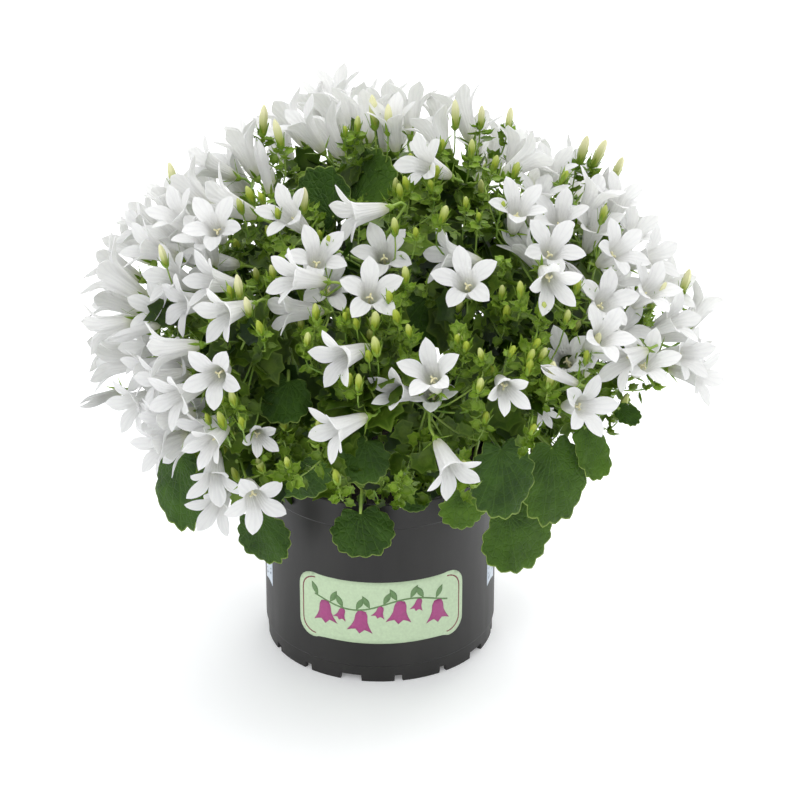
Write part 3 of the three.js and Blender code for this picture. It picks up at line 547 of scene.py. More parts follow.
def new_tree(name, inputs):
    """A node tree for a modifier, its named inputs, and the node that its result goes to."""
    tree = bpy.data.node_groups.new(name, "GeometryNodeTree")
    tree.interface.new_socket("Guide", in_out="INPUT", socket_type="NodeSocketGeometry")
    for label, kind in inputs.items():
        tree.interface.new_socket(label, in_out="INPUT", socket_type="NodeSocket" + kind)
    tree.interface.new_socket("Result", in_out="OUTPUT", socket_type="NodeSocketGeometry")
    return tree, tree.nodes.new("NodeGroupInput").outputs, tree.nodes.new("NodeGroupOutput")


def grown(name, guide, tree, values):
    """The plain mesh that a node tree grows from a guide, as a shown object."""
    piece = shown(name, guide)
    modifier = piece.modifiers.new("growth", "NODES")
    modifier.node_group = tree
    for item in tree.interface.items_tree:
        if item.in_out == "INPUT" and item.name in values:
            modifier[item.identifier] = values[item.name]
    settle(piece)
    piece.data.shade_smooth()
    return piece


def kept_aside(name, meshes):
    """A collection of patterns to copy, in the order given, out of the scene's sight."""
    collection = bpy.data.collections.new(name)
    for k, mesh in enumerate(meshes):
        collection.objects.link(bpy.data.objects.new(f"{name}_{k:02d}", mesh))
    return collection


def thrown_away(collection):
    """Removes patterns once they have been copied."""
    for pattern in list(collection.objects):
        bpy.data.objects.remove(pattern)
    bpy.data.collections.remove(collection)


def lump_mesh(name, squeeze, seed):
    """A small rough lump with eight corners cut unevenly, one unit across."""
    draw = np.random.default_rng(seed)
    ring = [(math.cos(a), math.sin(a)) for a in np.radians(range(0, 360, 72))]
    points = [(0, 0, -0.45)]
    points += [(0.42 * x, 0.42 * y, -0.2) for x, y in ring]
    points += [(0.46 * x, 0.46 * y, 0.18) for x, y in ring]
    points += [(0, 0, 0.45)]
    uneven = 1 + 0.3 * (draw.random((len(points), 1)) - 0.5)
    faces = []
    for k in range(5):
        n = (k + 1) % 5
        faces += [(0, 1 + n, 1 + k), (1 + k, 1 + n, 6 + n)]
        faces += [(1 + k, 6 + n, 6 + k), (6 + k, 6 + n, 11)]
    mesh = bpy.data.meshes.new(name)
    mesh.from_pydata((np.array(points) * uneven * squeeze).tolist(), [], faces)
    return mesh


def above(tree, value, least):
    """Whether a number is more than another."""
    feeds = {0: value, 1: least}
    return step(tree, "FunctionNodeCompare", feeds, operation="GREATER_THAN").outputs[0]


def any_number(tree, low, high, seed):
    """A random number for each copy, between two others."""
    return step(tree, "FunctionNodeRandomValue", {2: low, 3: high, "Seed": seed}).outputs[1]


def any_way(tree, low, high, seed):
    """A random vector for each copy, with each of its three numbers between two others."""
    feeds = {0: (low, low, low), 1: (high, high, high), "Seed": seed}
    return step(tree, "FunctionNodeRandomValue", feeds, data_type="FLOAT_VECTOR").outputs[0]


def copied(tree, points, collection, turn, size, choice=None):
    """A pattern of a collection at each point; a choice says which points or which pattern."""
    kinds = {"Collection": collection, "Separate Children": True, "Reset Children": True}
    patterns = step(tree, "GeometryNodeCollectionInfo", kinds).outputs[0]
    feeds = {"Points": points, "Instance": patterns, "Rotation": turn, "Scale": size}
    feeds = {**feeds, "Pick Instance": True, **(choice or {})}
    return step(tree, "GeometryNodeInstanceOnPoints", feeds).outputs[0]


def made_real(tree, shapes):
    """Joins shapes in the order given, and makes their copies real mesh."""
    whole = step(tree, "GeometryNodeJoinGeometry")
    for shape in shapes:
        tree.links.new(shape, whole.inputs[0])
    return step(tree, "GeometryNodeRealizeInstances", {0: whole.outputs[0]}).outputs[0]


def crumb_tree():
    """Scatters crumbs over the top of the soil, turned every way."""
    inputs = {"Crumbs": "Collection", "Density": "Float", "Smallest": "Float", "Largest": "Float"}
    tree, given, end = new_tree("soil_crumbs", {**inputs, "Soil": "Material"})
    up = step(tree, "GeometryNodeInputNormal").outputs["Normal"]
    rise = step(tree, "ShaderNodeSeparateXYZ", {0: up}).outputs["Z"]
    feeds = {
        "Mesh": given["Guide"], "Selection": above(tree, rise, 0.5), "Density": given["Density"],
        "Seed": 7,
    }
    spots = step(tree, "GeometryNodeDistributePointsOnFaces", feeds).outputs["Points"]
    turn = step(tree, "FunctionNodeEulerToRotation", {0: any_way(tree, 0, CRUMB_TURN, 3)})
    size = any_number(tree, given["Smallest"], given["Largest"], 5)
    crumbs = copied(tree, spots, given["Crumbs"], turn.outputs[0], size)
    feeds = {"Geometry": made_real(tree, (crumbs, given["Guide"])), "Material": given["Soil"]}
    painted = step(tree, "GeometryNodeSetMaterial", feeds)
    tree.links.new(painted.outputs[0], end.inputs[0])
    return tree


def potting_mix():
    """Damp potting mix, dark brown, with paler flecks and a very rough face."""
    material, tree, shader = finish_of("potting_mix")
    fleck = mapped(tree, grain(tree, 900, 6), 0.42, 0.72)
    tree.links.new(mixed(tree, fleck, SOIL_DARK, SOIL_BROWN), shader.inputs["Base Color"])
    damp = mapped(tree, grain(tree, 60, 3), 0.35, 0.65, 0.7, 0.98)
    tree.links.new(damp, shader.inputs["Roughness"])
    embossed(tree, shader, grain(tree, 1500, 5), 0.8, 0.0006)
    return material


crumbs = kept_aside(
    "crumb", [lump_mesh(f"crumb_{k}", (1, 0.55 + 0.15 * k, 0.35 + 0.2 * k), k) for k in range(3)]
)
soil = grown(
    "potting_soil",
    soil_mesh(),
    crumb_tree(),
    {
        "Crumbs": crumbs, "Density": CRUMB_DENSITY, "Smallest": CRUMB_SIZES[0],
        "Largest": CRUMB_SIZES[1], "Soil": potting_mix(),
    },
)
thrown_away(crumbs)
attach(soil, "root")
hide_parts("soil")

# Where the blooms stand: an open plant has no frame of its own, so each bloom is placed from the
# front view of the plant, on a round dome that leans a little off the pot's axis, and those of the
# sides and back by a spiral rule. Clusters of blooms share one short axis each.
PLANT_HEART = np.array((6.0, 0.0, 118.0))
DOME_CENTRE = np.array((9.0, 0.0, 176.0))
DOME_RADII = np.array((163.0, 160.0, 113.0))
VIEW_CENTRE_PIXEL = 400
VIEW_FOCAL_PIXELS = 3000
VIEW_DISTANCE = 1543
VIEW_TILT = math.radians(26.6)
VIEW_TARGET = np.array((10.5, 0.0, 133.0))
VIEW_FORWARD = np.array((0, math.cos(VIEW_TILT), -math.sin(VIEW_TILT)))
VIEW_RIGHT = np.array((1.0, 0.0, 0.0))
VIEW_UP = np.array((0, math.sin(VIEW_TILT), math.cos(VIEW_TILT)))
VIEW_EYE = VIEW_TARGET - VIEW_DISTANCE * VIEW_FORWARD
TUBE_LENGTH = 19
LARGEST_SCALE = 1.2
ROLL_STEP = 0.47
MOUTH_INSET = 5
DEPTH_STEPS = (0, 7, -5, 14, 21, -10, 28)
SHOWN_SPACING = 24
HIDDEN_SPACING = 22
HEART_OF_BLOOM = 0.8
HUB_DEPTH = 12
HIDDEN_SPREAD = 38
HIDDEN_NARROWING = 0.72
HIDDEN_LEAN = 0.9
HIDDEN_UNEVEN = 6
GOLDEN_TURN = 2.4
HIDDEN_SHARE = np.array((0.92, 1.03, 0.88))

# The blooms in sight, by cluster: the pixel where the stalk meets the bloom, the pixel of its open
# mouth, how far it has opened, from 0 to 1, for some how far back they stand in millimetres, and
# for a small one its share of the full size.
SHOWN_CLUSTERS = {
    "left_crown": [
        (235, 176, 203, 163, 0.7), (255, 175, 238, 140, 0.6), (270, 193, 261, 156, 0.1),
        (258, 217, 216, 199, 0.7), (178, 225, 162, 192, 0.6), (215, 212, 186, 185, 0.7),
    ],
    "left_upper": [
        (165, 238, 132, 224, 0.7), (222, 240, 215, 226, 0.9), (178, 258, 144, 246, 0.6),
        (235, 262, 200, 258, 0.7), (198, 236, 176, 214, 0.7),
    ],
    "left_far": [
        (148, 300, 108, 274, 0.8), (240, 286, 207, 280, 0.7), (213, 299, 178, 303, 1),
        (135, 320, 97, 328, 0.7), (158, 324, 124, 336, 0.1),
    ],
    "left_low": [
        (200, 345, 160, 350, 0.7), (145, 360, 102, 362, 0.6), (118, 391, 92, 401, 0.05),
        (187, 372, 152, 382, 0.7), (203, 385, 174, 398, 0.8), (172, 360, 136, 370, 0.6),
    ],
    "left_inner": [(252, 304, 222, 315, 0.7), (226, 368, 214, 377, 0.95)],
    "left_hem": [
        (186, 434, 154, 448, 0.6), (190, 418, 155, 426, 0.6), (227, 416, 198, 433, 0.7),
        (226, 428, 210, 444, 0.3),
    ],
    "front_left_hem": [
        (250, 430, 257, 438, 0.35, 0, 0.85), (213, 452, 212, 482, 0.8), (226, 486, 213, 510, 0.7),
        (246, 482, 256, 502, 1),
    ],
    "top_left": [
        (306, 146, 285, 113, 0.6), (322, 150, 301, 122, 0.7), (342, 155, 322, 120, 0.6),
        (345, 142, 327, 96, 0.7, 26),
    ],
    "top_middle": [
        (356, 136, 350, 99, 0.6), (368, 144, 368, 106, 0.6), (396, 150, 391, 117, 0.6, 6),
        (384, 148, 381, 116, 0.05),
    ],
    "top_right": [(450, 160, 432, 122, 0.7), (450, 174, 422, 163, 1), (472, 142, 459, 102, 0.6)],
    "right_crown": [
        (500, 178, 534, 155, 0.7), (514, 230, 519, 206, 0.8), (560, 240, 560, 214, 0.8),
        (544, 264, 553, 248, 1), (546, 268, 524, 242, 0.4), (543, 268, 552, 285, 0.6),
    ],
    "right_upper": [
        (590, 248, 598, 222, 0.7), (608, 226, 621, 198, 0.8), (600, 264, 620, 250, 0.9),
        (602, 206, 608, 180, 0.05), (628, 264, 656, 256, 0.8),
    ],
    "right_far": [
        (632, 306, 652, 288, 0.8), (592, 314, 607, 300, 1), (682, 333, 705, 302, 0.7),
        (650, 332, 678, 318, 0.8), (600, 296, 578, 272, 0.1),
    ],
    "right_low": [
        (586, 350, 604, 335, 0.8), (638, 374, 649, 360, 0.9), (648, 350, 620, 362, 0.6),
        (672, 369, 702, 376, 0.8), (664, 354, 690, 355, 0.7, 8), (590, 374, 600, 348, 0.1),
    ],
    "centre_left": [
        (313, 274, 318, 256, 0.9), (321, 296, 329, 282, 1), (326, 282, 291, 278, 0.7),
        (322, 310, 284, 309, 0.7),
    ],
    "centre_top": [
        (388, 207, 351, 215, 0.8), (306, 230, 286, 212, 0.8), (368, 305, 371, 291, 1),
        (385, 263, 383, 250, 0.8),
    ],
    "centre_right": [(472, 294, 465, 280, 1), (482, 260, 445, 252, 0.8)],
    "front_left": [(368, 347, 338, 359, 0.8), (366, 417, 332, 431, 0.8, 1)],
    "front_middle": [
        (438, 390, 430, 372, 0.8), (437, 404, 432, 390, 0.6), (414, 395, 394, 392, 0.3),
        (437, 441, 453, 472, 0.8),
    ],
    "front_right": [
        (500, 378, 507, 391, 0.4), (566, 406, 587, 407, 0.9), (577, 383, 552, 372, 0.1),
        (575, 367, 567, 356, 0.6), (540, 402, 548, 414, 0.35, 0, 0.62),
    ],
}

# The clusters out of sight: the bearing of each, its height angle over the dome's middle, and the
# number of its blooms.
HIDDEN_CLUSTERS = {
    "back_left": (155, 12, 9),
    "back_left_high": (126, 50, 8),
    "back_middle": (94, 14, 9),
    "back_right_high": (50, 48, 8),
    "back_right": (30, 10, 9),
}

# The blooms that fill the crowded left, top and right, by cluster: the pixel of the open mouth, how
# far it has opened, and for one at the very top how far back it stands.
FILLING_BLOOMS = {
    "left_crown": [(200, 178, 0.7), (222, 160, 0.6), (185, 205, 0.8), (240, 130, 0.6, 10)],
    "left_upper": [
        (140, 212, 0.6), (182, 250, 0.8), (118, 240, 0.6), (165, 228, 0.7), (205, 235, 1),
    ],
    "left_far": [(108, 261, 0.7), (168, 274, 0.8), (104, 297, 0.7), (150, 305, 0.7)],
    "left_low": [
        (98, 346, 0.7), (135, 345, 0.7), (150, 395, 0.8), (128, 405, 0.7), (168, 362, 0.9),
    ],
    "left_hem": [(150, 428, 0.7), (184, 412, 0.9), (168, 448, 0.6)],
    "top_left": [(268, 124, 0.6, 14), (306, 94, 0.6, 24), (318, 82, 0.35, 34)],
    "top_middle": [(334, 76, 0.5, 40), (360, 88, 0.6, 34), (384, 92, 0.6, 26)],
    "top_right": [(412, 98, 0.6, 22), (438, 100, 0.7, 20), (478, 118, 0.7, 14)],
    "right_crown": [(520, 140, 0.7), (552, 165, 0.7), (540, 190, 0.8)],
    "right_upper": [(596, 192, 0.7), (640, 228, 0.7), (620, 275, 0.8)],
    "right_far": [(690, 330, 0.7), (672, 285, 0.7), (630, 325, 0.9)],
    "right_low": [(700, 360, 0.7)],
}
FILLING_LEAN = 0.3
FILLING_INSET = 9
FILLING_REACH = 0.93
FILLING_SPACING = 19


def unit(vector):
    """A direction of length one."""
    return vector / np.linalg.norm(vector)


def draws_from(seed):
    """A random draw that gives the same numbers each time."""
    state = seed
    while True:
        state = state * 16807 % 2147483647
        yield state / 2147483647


def sight(x, y):
    """The direction of sight through a pixel of the front view."""
    return (
        VIEW_FORWARD
        + VIEW_RIGHT * (x - VIEW_CENTRE_PIXEL) / VIEW_FOCAL_PIXELS
        + VIEW_UP * (VIEW_CENTRE_PIXEL - y) / VIEW_FOCAL_PIXELS
    )


def on_dome(x, y, inset):
    """Where a pixel's line of sight meets the dome, or comes nearest to it past its edge."""
    radii = DOME_RADII - inset
    start = (VIEW_EYE - DOME_CENTRE) / radii
    way = sight(x, y) / radii
    middle = -(start @ way) / (way @ way)
    nearest = start + middle * way
    gap = nearest @ nearest
    back = math.sqrt((1 - gap) / (way @ way)) if gap < 1 else 0
    return VIEW_EYE + sight(x, y) * (middle - back)


def at_depth(x, y, depth):
    """The point on a pixel's line of sight at a distance behind the pot's axis."""
    way = sight(x, y)
    return VIEW_EYE + way * (depth - VIEW_EYE[1]) / way[1]


def bloom_facing(mouth, direction, scale, openness, roll):
    """A bloom, by its open mouth and the way that it faces."""
    base = mouth - direction * (TUBE_LENGTH * scale)
    return {"base": base, "direction": direction, "scale": scale, "open": openness, "roll": roll}


def shown_bloom(row, back, index):
    """A bloom of the front view, some way behind or before the dome; a small one has its share."""
    base_x, base_y, mouth_x, mouth_y, openness = row[:5]
    share = row[6] if len(row) > 6 else 1
    mouth = on_dome(mouth_x, mouth_y, MOUTH_INSET) + VIEW_FORWARD * back
    size = (mouth - VIEW_EYE) @ VIEW_FORWARD / VIEW_FOCAL_PIXELS
    in_picture = (VIEW_RIGHT * (mouth_x - base_x) + VIEW_UP * (base_y - mouth_y)) * size
    seen = np.linalg.norm(in_picture)
    scale = min(max(seen / TUBE_LENGTH, 1), LARGEST_SCALE) * share
    tube = TUBE_LENGTH * scale
    towards = math.sqrt(max(0, tube**2 - seen**2))
    direction = unit(in_picture - VIEW_FORWARD * towards)
    return bloom_facing(mouth, direction, scale, openness, index * ROLL_STEP)


def hidden_blooms(row, seed):
    """The blooms of a cluster at the side or back, spread evenly over its patch of the dome."""
    bearing, height, count = row
    draw = draws_from(seed)
    for k in range(count):
        turn = k * GOLDEN_TURN
        reach = HIDDEN_SPREAD * math.sqrt((k + 0.3) / count)
        yaw = math.radians(bearing + reach * math.cos(turn) * HIDDEN_NARROWING)
        lift = math.radians(height + reach * math.sin(turn))
        normal = np.array(
            (math.cos(lift) * math.cos(yaw), math.cos(lift) * math.sin(yaw), math.sin(lift))
        )
        radii = DOME_RADII - (MOUTH_INSET + HIDDEN_UNEVEN * next(draw))
        mouth = normal * radii * HIDDEN_SHARE + DOME_CENTRE
        lean = np.array((next(draw) - 0.5, next(draw) - 0.5, next(draw) - 0.1))
        direction = unit(normal + HIDDEN_LEAN * lean)
        yield bloom_facing(mouth, direction, 1, 0.5 + 0.5 * next(draw), 6 * next(draw))


def heart_of(bloom):
    """The middle of a bloom's wide part."""
    return bloom["base"] + bloom["direction"] * TUBE_LENGTH * HEART_OF_BLOOM * bloom["scale"]


def room(bloom, placed):
    """How far a bloom stands from the nearest of those already placed."""
    return min((np.linalg.norm(heart_of(other) - heart_of(bloom)) for other in placed), default=1e9)


def with_room(rows, make, own_at, placed, spacing):
    """A bloom from each row of a table. It steps back or forward, from the depth that its row may
    give, until it has room, or else it takes the step that leaves it the most."""
    blooms = []
    for index, row in enumerate(rows):
        own = row[own_at] if len(row) > own_at else 0
        choices = [make(row, own + back, index) for back in DEPTH_STEPS]
        free = [room(bloom, placed) for bloom in choices]
        roomy = [k for k, distance in enumerate(free) if distance > spacing]
        blooms.append(choices[roomy[0] if roomy else free.index(max(free))])
        placed.append(blooms[-1])
    return blooms


def placed_blooms():
    """All blooms by cluster. One of the sides and back that would crowd the rest is left out."""
    placed = []
    clusters = {}
    for name, rows in SHOWN_CLUSTERS.items():
        clusters[name] = with_room(rows, shown_bloom, 5, placed, SHOWN_SPACING)
    for index, (name, row) in enumerate(HIDDEN_CLUSTERS.items()):
        blooms = hidden_blooms(row, 101 + index)
        clusters[name] = [bloom for bloom in blooms if room(bloom, placed) > HIDDEN_SPACING]
        placed += clusters[name]
    return clusters


def hub_of(blooms):
    """Where a cluster's axis starts, and the way from there to the plant's heart."""
    middle = np.mean([bloom["base"] for bloom in blooms], axis=0)
    inward = unit(PLANT_HEART - middle)
    return middle + inward * HUB_DEPTH, inward


def filling_bloom(row, back, index):
    """A bloom that faces out of the dome, behind or beside those of the tables."""
    x, y, openness = row[:3]
    share = (on_dome(x, y, FILLING_INSET) + VIEW_FORWARD * back - DOME_CENTRE) / DOME_RADII
    share[:2] *= min(1, FILLING_REACH / np.linalg.norm(share[:2]))
    mouth = DOME_CENTRE + share * DOME_RADII
    lean = np.array((math.sin(5 * index), math.sin(3 * index + 1), 0.5 * math.sin(7 * index)))
    direction = unit(unit((mouth - DOME_CENTRE) / DOME_RADII**2) + FILLING_LEAN * lean)
    return bloom_facing(mouth, direction, 1, openness, index * ROLL_STEP)


def filled(clusters):
    """Adds the filling blooms to their clusters."""
    placed = [bloom for blooms in clusters.values() for bloom in blooms]
    for name, rows in FILLING_BLOOMS.items():
        clusters[name] += with_room(rows, filling_bloom, 3, placed, FILLING_SPACING)


clusters = placed_blooms()
hubs = {name: hub_of(blooms) for name, blooms in clusters.items()}
filled(clusters)

# The leafy stems: thin green stems that rise from the soil, fork to the clusters of blooms, and
# carry many short twigs with small toothed leaves, each twig ending in a tuft or in a bud.
SOIL_HOLE_FLOOR = 86.3
STEM_FOOT = 14
FORK_SHARE = 0.4
BRANCH_END = 6
BRANCH_BOW = 0.6
STEM_GIRTH = 1.5
BRANCH_GIRTH = 1.0
TWIG_GIRTH = 0.55
STEM_SIDES = 5
PATH_STEP = 6

# How the twigs spread: their numbers, their reach as a share of the dome, and what they clear.
TWIG_COUNT = 330
FRONT_TWIGS = 420
LOWEST_TWIG = 0.38
INNER_REACH = (0.66, 0.2)
FRONT_REACH = (0.84, 0.12)
GREEN_FRONT = (-128, -52)
GREEN_FRONT_TOP = 0.85
LOWEST_IN_FRONT = 486
HEM_UNEVEN = 14
BACK_HALF = 20
TWIG_TOP = 276
BLOOM_ROOM = 13
LEAF_ROOM = 10.5
LOBE_REACH = 7
STEPS_BACK = 6
STEP_BACK = 0.05
SHORTEST_TWIG = 8
TWIG_TURN_UP = 12
TWIG_ASIDE = 0.16
TWIG_SAG = 0.05
DEEPER_FREE = 25
DEEPER_COST = 0.35

# The buds: how far under the dome they end, the share of twigs that bear one, and their sizes.
BUD_INSET = 9
BUD_UNEVEN = 3
BUD_SHARE = 0.4
BUD_SIZES = (0.8, 1.15)

# The small leaves: their steps and sizes in metres, the part of a twig that they stand on, from 0
# at its foot to 1 at its tip, and how they lean and differ.
LEAF_SPACING = 0.0033
TUFT_SPACING = 0.001
INNER_SPACING = 0.008
LEAF_LARGEST = 0.0105
LEAF_SMALLEST = 0.0054
INNER_LARGEST = 0.023
INNER_SMALLEST = 0.014
TUFT_SIZES = (1.4, 0.8)
LEAVES_ALONG = (0.42, 0.93)
TUFT_ALONG = (0.9, 1.01)
INNER_ALONG = (0.0, 0.55)
LEAF_AHEAD = (0.15, 0.95)
LEAF_OUTWARD = 0.8
LEAF_ALONG = 0.35
LEAF_UPWARD = 0.45
LEAF_TUMBLE = 0.75
LEAF_UNEVEN = (0.7, 1.25)

# The form of one small leaf, as shares of its length.
LEAF_TEETH = 7
LEAF_MIDDLE = 0.58
TOOTH_REACH = 0.44
TIP_TOOTH = 1.35
GAP_REACH = 0.36
NOTCH_REACH = 0.2
MIDDLE_REACH = 0.23
LEAF_THICKNESS = 0.022
CRISP_FROM = 50

STEM_GREEN = (0.13, 0.25, 0.025, 1)
STEM_PALE = (0.30, 0.42, 0.07, 1)
# The dark leaf green is partly the own colour of older leaves and partly painted shade deep in the
# foliage.
LEAF_DARK = (0.005, 0.020, 0.0015, 1)
LEAF_BRIGHT = (0.185, 0.33, 0.016, 1)
LEAF_EDGE = (0.40, 0.54, 0.08, 1)
LEAF_LIGHT_THROUGH = (0.36, 0.60, 0.02, 1)
BUD_GREEN = (0.36, 0.45, 0.035, 1)
BUD_CREAM = (0.78, 0.77, 0.46, 1)

# The number of each part of a pattern, for its own finish.
STEM_PART = 0
LEAF_PART = 1
BUD_PART = 2
CALYX_PART = 3

# Each stem: the bearing and distance of its foot from the pot's axis, how far it bows up to pass
# its neighbours, and the clusters that it carries.
STEMS = {
    "left_high": (170, 26, 6, ("left_crown", "left_upper")),
    "left_middle": (190, 34, 0, ("left_far", "left_inner")),
    "left_low": (214, 40, 6, ("left_low", "left_hem")),
    "front_left": (242, 40, 24, ("front_left_hem", "front_left")),
    "top_left": (205, 14, 6, ("top_left", "centre_left")),
    "top_middle": (275, 8, 0, ("top_middle", "centre_top")),
    "top_right": (340, 18, 24, ("top_right", "centre_right")),
    "right_high": (0, 28, 6, ("right_crown", "right_upper")),
    "right_low": (340, 38, 12, ("right_far", "right_low")),
    "front_middle": (290, 38, 6, ("front_middle", "front_right")),
    "back_left": (150, 38, 6, ("back_left", "back_left_high")),
    "back_middle": (95, 36, 6, ("back_middle",)),
    "back_right": (40, 36, 6, ("back_right", "back_right_high")),
}

# The buds in sight, each at the tip of its own twig, by pixel.
SHOWN_BUDS = (
    (357, 330), (374, 330), (398, 325), (410, 338), (457, 345), (306, 347), (348, 388), (358, 392),
    (345, 137), (356, 135), (407, 192), (400, 200), (432, 192), (395, 237), (415, 240), (254, 205),
    (265, 205), (243, 215), (330, 250), (520, 300), (590, 300), (565, 325), (585, 365), (600, 225),
    (369, 362), (377, 357), (262, 336), (315, 323), (465, 352), (482, 362), (509, 358), (527, 365),
    (533, 350), (538, 362), (527, 376), (550, 390), (232, 300), (215, 325), (278, 220), (465, 210),
    (478, 222), (440, 225), (575, 295), (540, 318), (223, 405), (235, 408), (210, 425), (225, 430),
    (243, 430), (478, 393), (390, 305), (288, 468), (560, 185), (420, 160), (432, 182), (492, 172),
    (345, 322), (405, 285), (500, 215), (512, 180), (440, 150), (470, 160),
)
LONG_BUDS = (
    (455, 128), (480, 130), (507, 132), (578, 165), (592, 168), (612, 182), (176, 190), (303, 215),
    (375, 128), (388, 131), (262, 138), (282, 150), (681, 295), (655, 305), (548, 390), (167, 268),
    (592, 352), (240, 300), (250, 318),
)
BUD_KINDS = 4
NO_BUD = -2

# The kinds of small leaf: width, cup, droop and skew, for a length of one.
INNER_LEAF_KINDS = ((1.1, 0.35, 0.12, 0.03), (1.0, 0.5, 0.25, -0.04), (1.2, 0.2, 0.05, 0.0))
SMALL_LEAF_KINDS = (
    (0.88, 0.8, 0.15, 0.02), (0.74, 1.4, 0.4, -0.06), (1.05, 0.6, 0.35, 0.06),
    (0.8, 1.8, -0.12, 0.0),
)

# The kinds of bud: length, radius and how ripe. The last is the long one.
BUD_SHAPES = ((7.5, 1.5, 0.1), (11, 1.8, 0.65), (9.5, 1.7, 0.35), (10.5, 1.7, 0.5), (16, 2.0, 1.3))

# The places of the large leaves that no shoot hangs in front of: column, row and reach in pixels.
CLEAR_LEAVES = (
    (246, 368, 24), (284, 402, 17), (430, 314, 26), (474, 404, 20), (506, 478, 34), (528, 505, 26),
    (545, 470, 34), (350, 460, 28), (308, 482, 26), (590, 462, 30), (625, 440, 28), (176, 500, 30),
    (372, 172, 22),
)

# The low shoots at the front, by pixel, which lean out over the rim between the large leaves.
LOW_SHOOTS = (
    (392, 462), (405, 478), (420, 466), (384, 480), (434, 478), (446, 486), (416, 488), (398, 448),
    (452, 448), (374, 490), (264, 470), (462, 464), (548, 430), (562, 426), (538, 422),
)
LOW_SHOOT_DEPTH = -68
LOW_SHOOT_SPREAD = 8
LOW_SHOOT_YOUTH = 0.85


def foot_on(bearing, distance, height):
    """A point over the soil, by bearing and distance from the pot's axis."""
    turn = math.radians(bearing)
    return np.array((distance * math.cos(turn), distance * math.sin(turn), height))


def eased(corners, spacing=PATH_STEP):
    """A smooth path through given points, in steps of about one spacing."""
    corners = [np.asarray(corner, float) for corner in corners]
    ends = [2 * corners[0] - corners[1], *corners, 2 * corners[-1] - corners[-2]]
    path = [corners[0]]
    for a, b, c, d in zip(ends, ends[1:], ends[2:], ends[3:]):
        count = max(2, round(np.linalg.norm(c - b) / spacing))
        for k in range(1, count + 1):
            t = k / count
            bend = 2 * b + (c - a) * t + (2 * a - 5 * b + 4 * c - d) * t**2
            path.append((bend + (3 * b - a - 3 * c + d) * t**3) / 2)
    return np.array(path)


def stem_paths(bearing, distance, bow, feeds):
    """A stem's trunk and its branches, one to the foot of each of its clusters."""
    foot = foot_on(bearing, distance, SOIL_HOLE_FLOOR)
    knee = foot_on(bearing, distance, SOIL_HOLE_FLOOR + STEM_FOOT)
    fork = knee + (np.mean([hubs[name][0] for name in feeds], axis=0) - knee) * FORK_SHARE
    fork[2] += bow
    branches = []
    for name in feeds:
        hub, inward = hubs[name]
        before = hub + inward * BRANCH_END
        middle = (fork + before) / 2
        middle[2] += BRANCH_BOW * bow
        branches.append(eased((knee, fork, middle, before, hub + 0.5 * inward)))
    return eased((foot, knee, fork)), branches


def dome_reach(direction):
    """How far out from the plant's heart a direction meets the dome."""
    start = (PLANT_HEART - DOME_CENTRE) / DOME_RADII
    way = direction / DOME_RADII
    a = way @ way
    b = start @ way
    return (-b + math.sqrt(b * b - a * (start @ start - 1))) / a


def in_green_front(direction):
    """Whether a direction from the heart points to the front, where few blooms stand."""
    bearing = math.degrees(math.atan2(direction[1], direction[0]))
    return GREEN_FRONT[0] < bearing < GREEN_FRONT[1] and direction[2] < GREEN_FRONT_TOP


def pixel_of(point):
    """Where the front view shows a point: its column and its row."""
    way = point - VIEW_EYE
    size = VIEW_FOCAL_PIXELS / (way @ VIEW_FORWARD)
    return VIEW_CENTRE_PIXEL + size * (way @ VIEW_RIGHT), VIEW_CENTRE_PIXEL - size * (way @ VIEW_UP)


def before_large_leaf(point):
    """Whether a tip would hang in front of a large leaf that stands clear of the shoots."""
    column, row = pixel_of(point)
    return any(math.hypot(column - x, row - y) < reach for x, y, reach in CLEAR_LEAVES)


def room_at(point):
    """How far a point is from the nearest bloom's middle line."""
    starts = np.array([bloom["base"] for bloom in every_bloom])
    ways = np.array([bloom["direction"] for bloom in every_bloom]) * (TUBE_LENGTH + LOBE_REACH)
    along = np.clip(((point - starts) * ways).sum(axis=1) / (ways**2).sum(axis=1), 0, 1)
    return np.linalg.norm(starts + ways * along[:, None] - point, axis=1).min()


def twig_tips():
    """The tips of the twigs: an even spiral over the dome, more at the front, and every bud. A tip
    that would stand in a bloom steps back, and none hangs over the pot's front."""
    draw = np.random.default_rng(17)
    for count, only_front in ((TWIG_COUNT, False), (FRONT_TWIGS, True)):
        for k in range(count):
            height = 1 - (k + 0.5) / count * (1 + LOWEST_TWIG)
            turn = k * GOLDEN_TURN + only_front
            level = math.sqrt(1 - height**2)
            direction = np.array((level * math.cos(turn), level * math.sin(turn), height))
            front = in_green_front(direction)
            least, more = FRONT_REACH if front else INNER_REACH
            reach = least + more * draw.random()
            kind = int(BUD_KINDS * draw.random()) if draw.random() < BUD_SHARE else NO_BUD
            if only_front and not front:
                continue
            for _ in range(STEPS_BACK):
                tip = PLANT_HEART + direction * dome_reach(direction) * reach
                if room_at(tip) > BLOOM_ROOM:
                    break
                reach -= STEP_BACK
            too_low = pixel_of(tip)[1] > LOWEST_IN_FRONT + HEM_UNEVEN * draw.random()
            if tip[1] > BACK_HALF or not (too_low or before_large_leaf(tip)):
                yield tip, kind, 1
    for x, y in LOW_SHOOTS:
        depth = LOW_SHOOT_DEPTH - LOW_SHOOT_SPREAD * draw.random()
        yield at_depth(x, y, depth), NO_BUD, LOW_SHOOT_YOUTH
    for index, (x, y) in enumerate(SHOWN_BUDS):
        yield on_dome(x, y, BUD_INSET + BUD_UNEVEN * draw.random()), index % BUD_KINDS, 1
    for x, y in LONG_BUDS:
        yield on_dome(x, y, BUD_INSET + BUD_UNEVEN * draw.random()), BUD_KINDS, 1


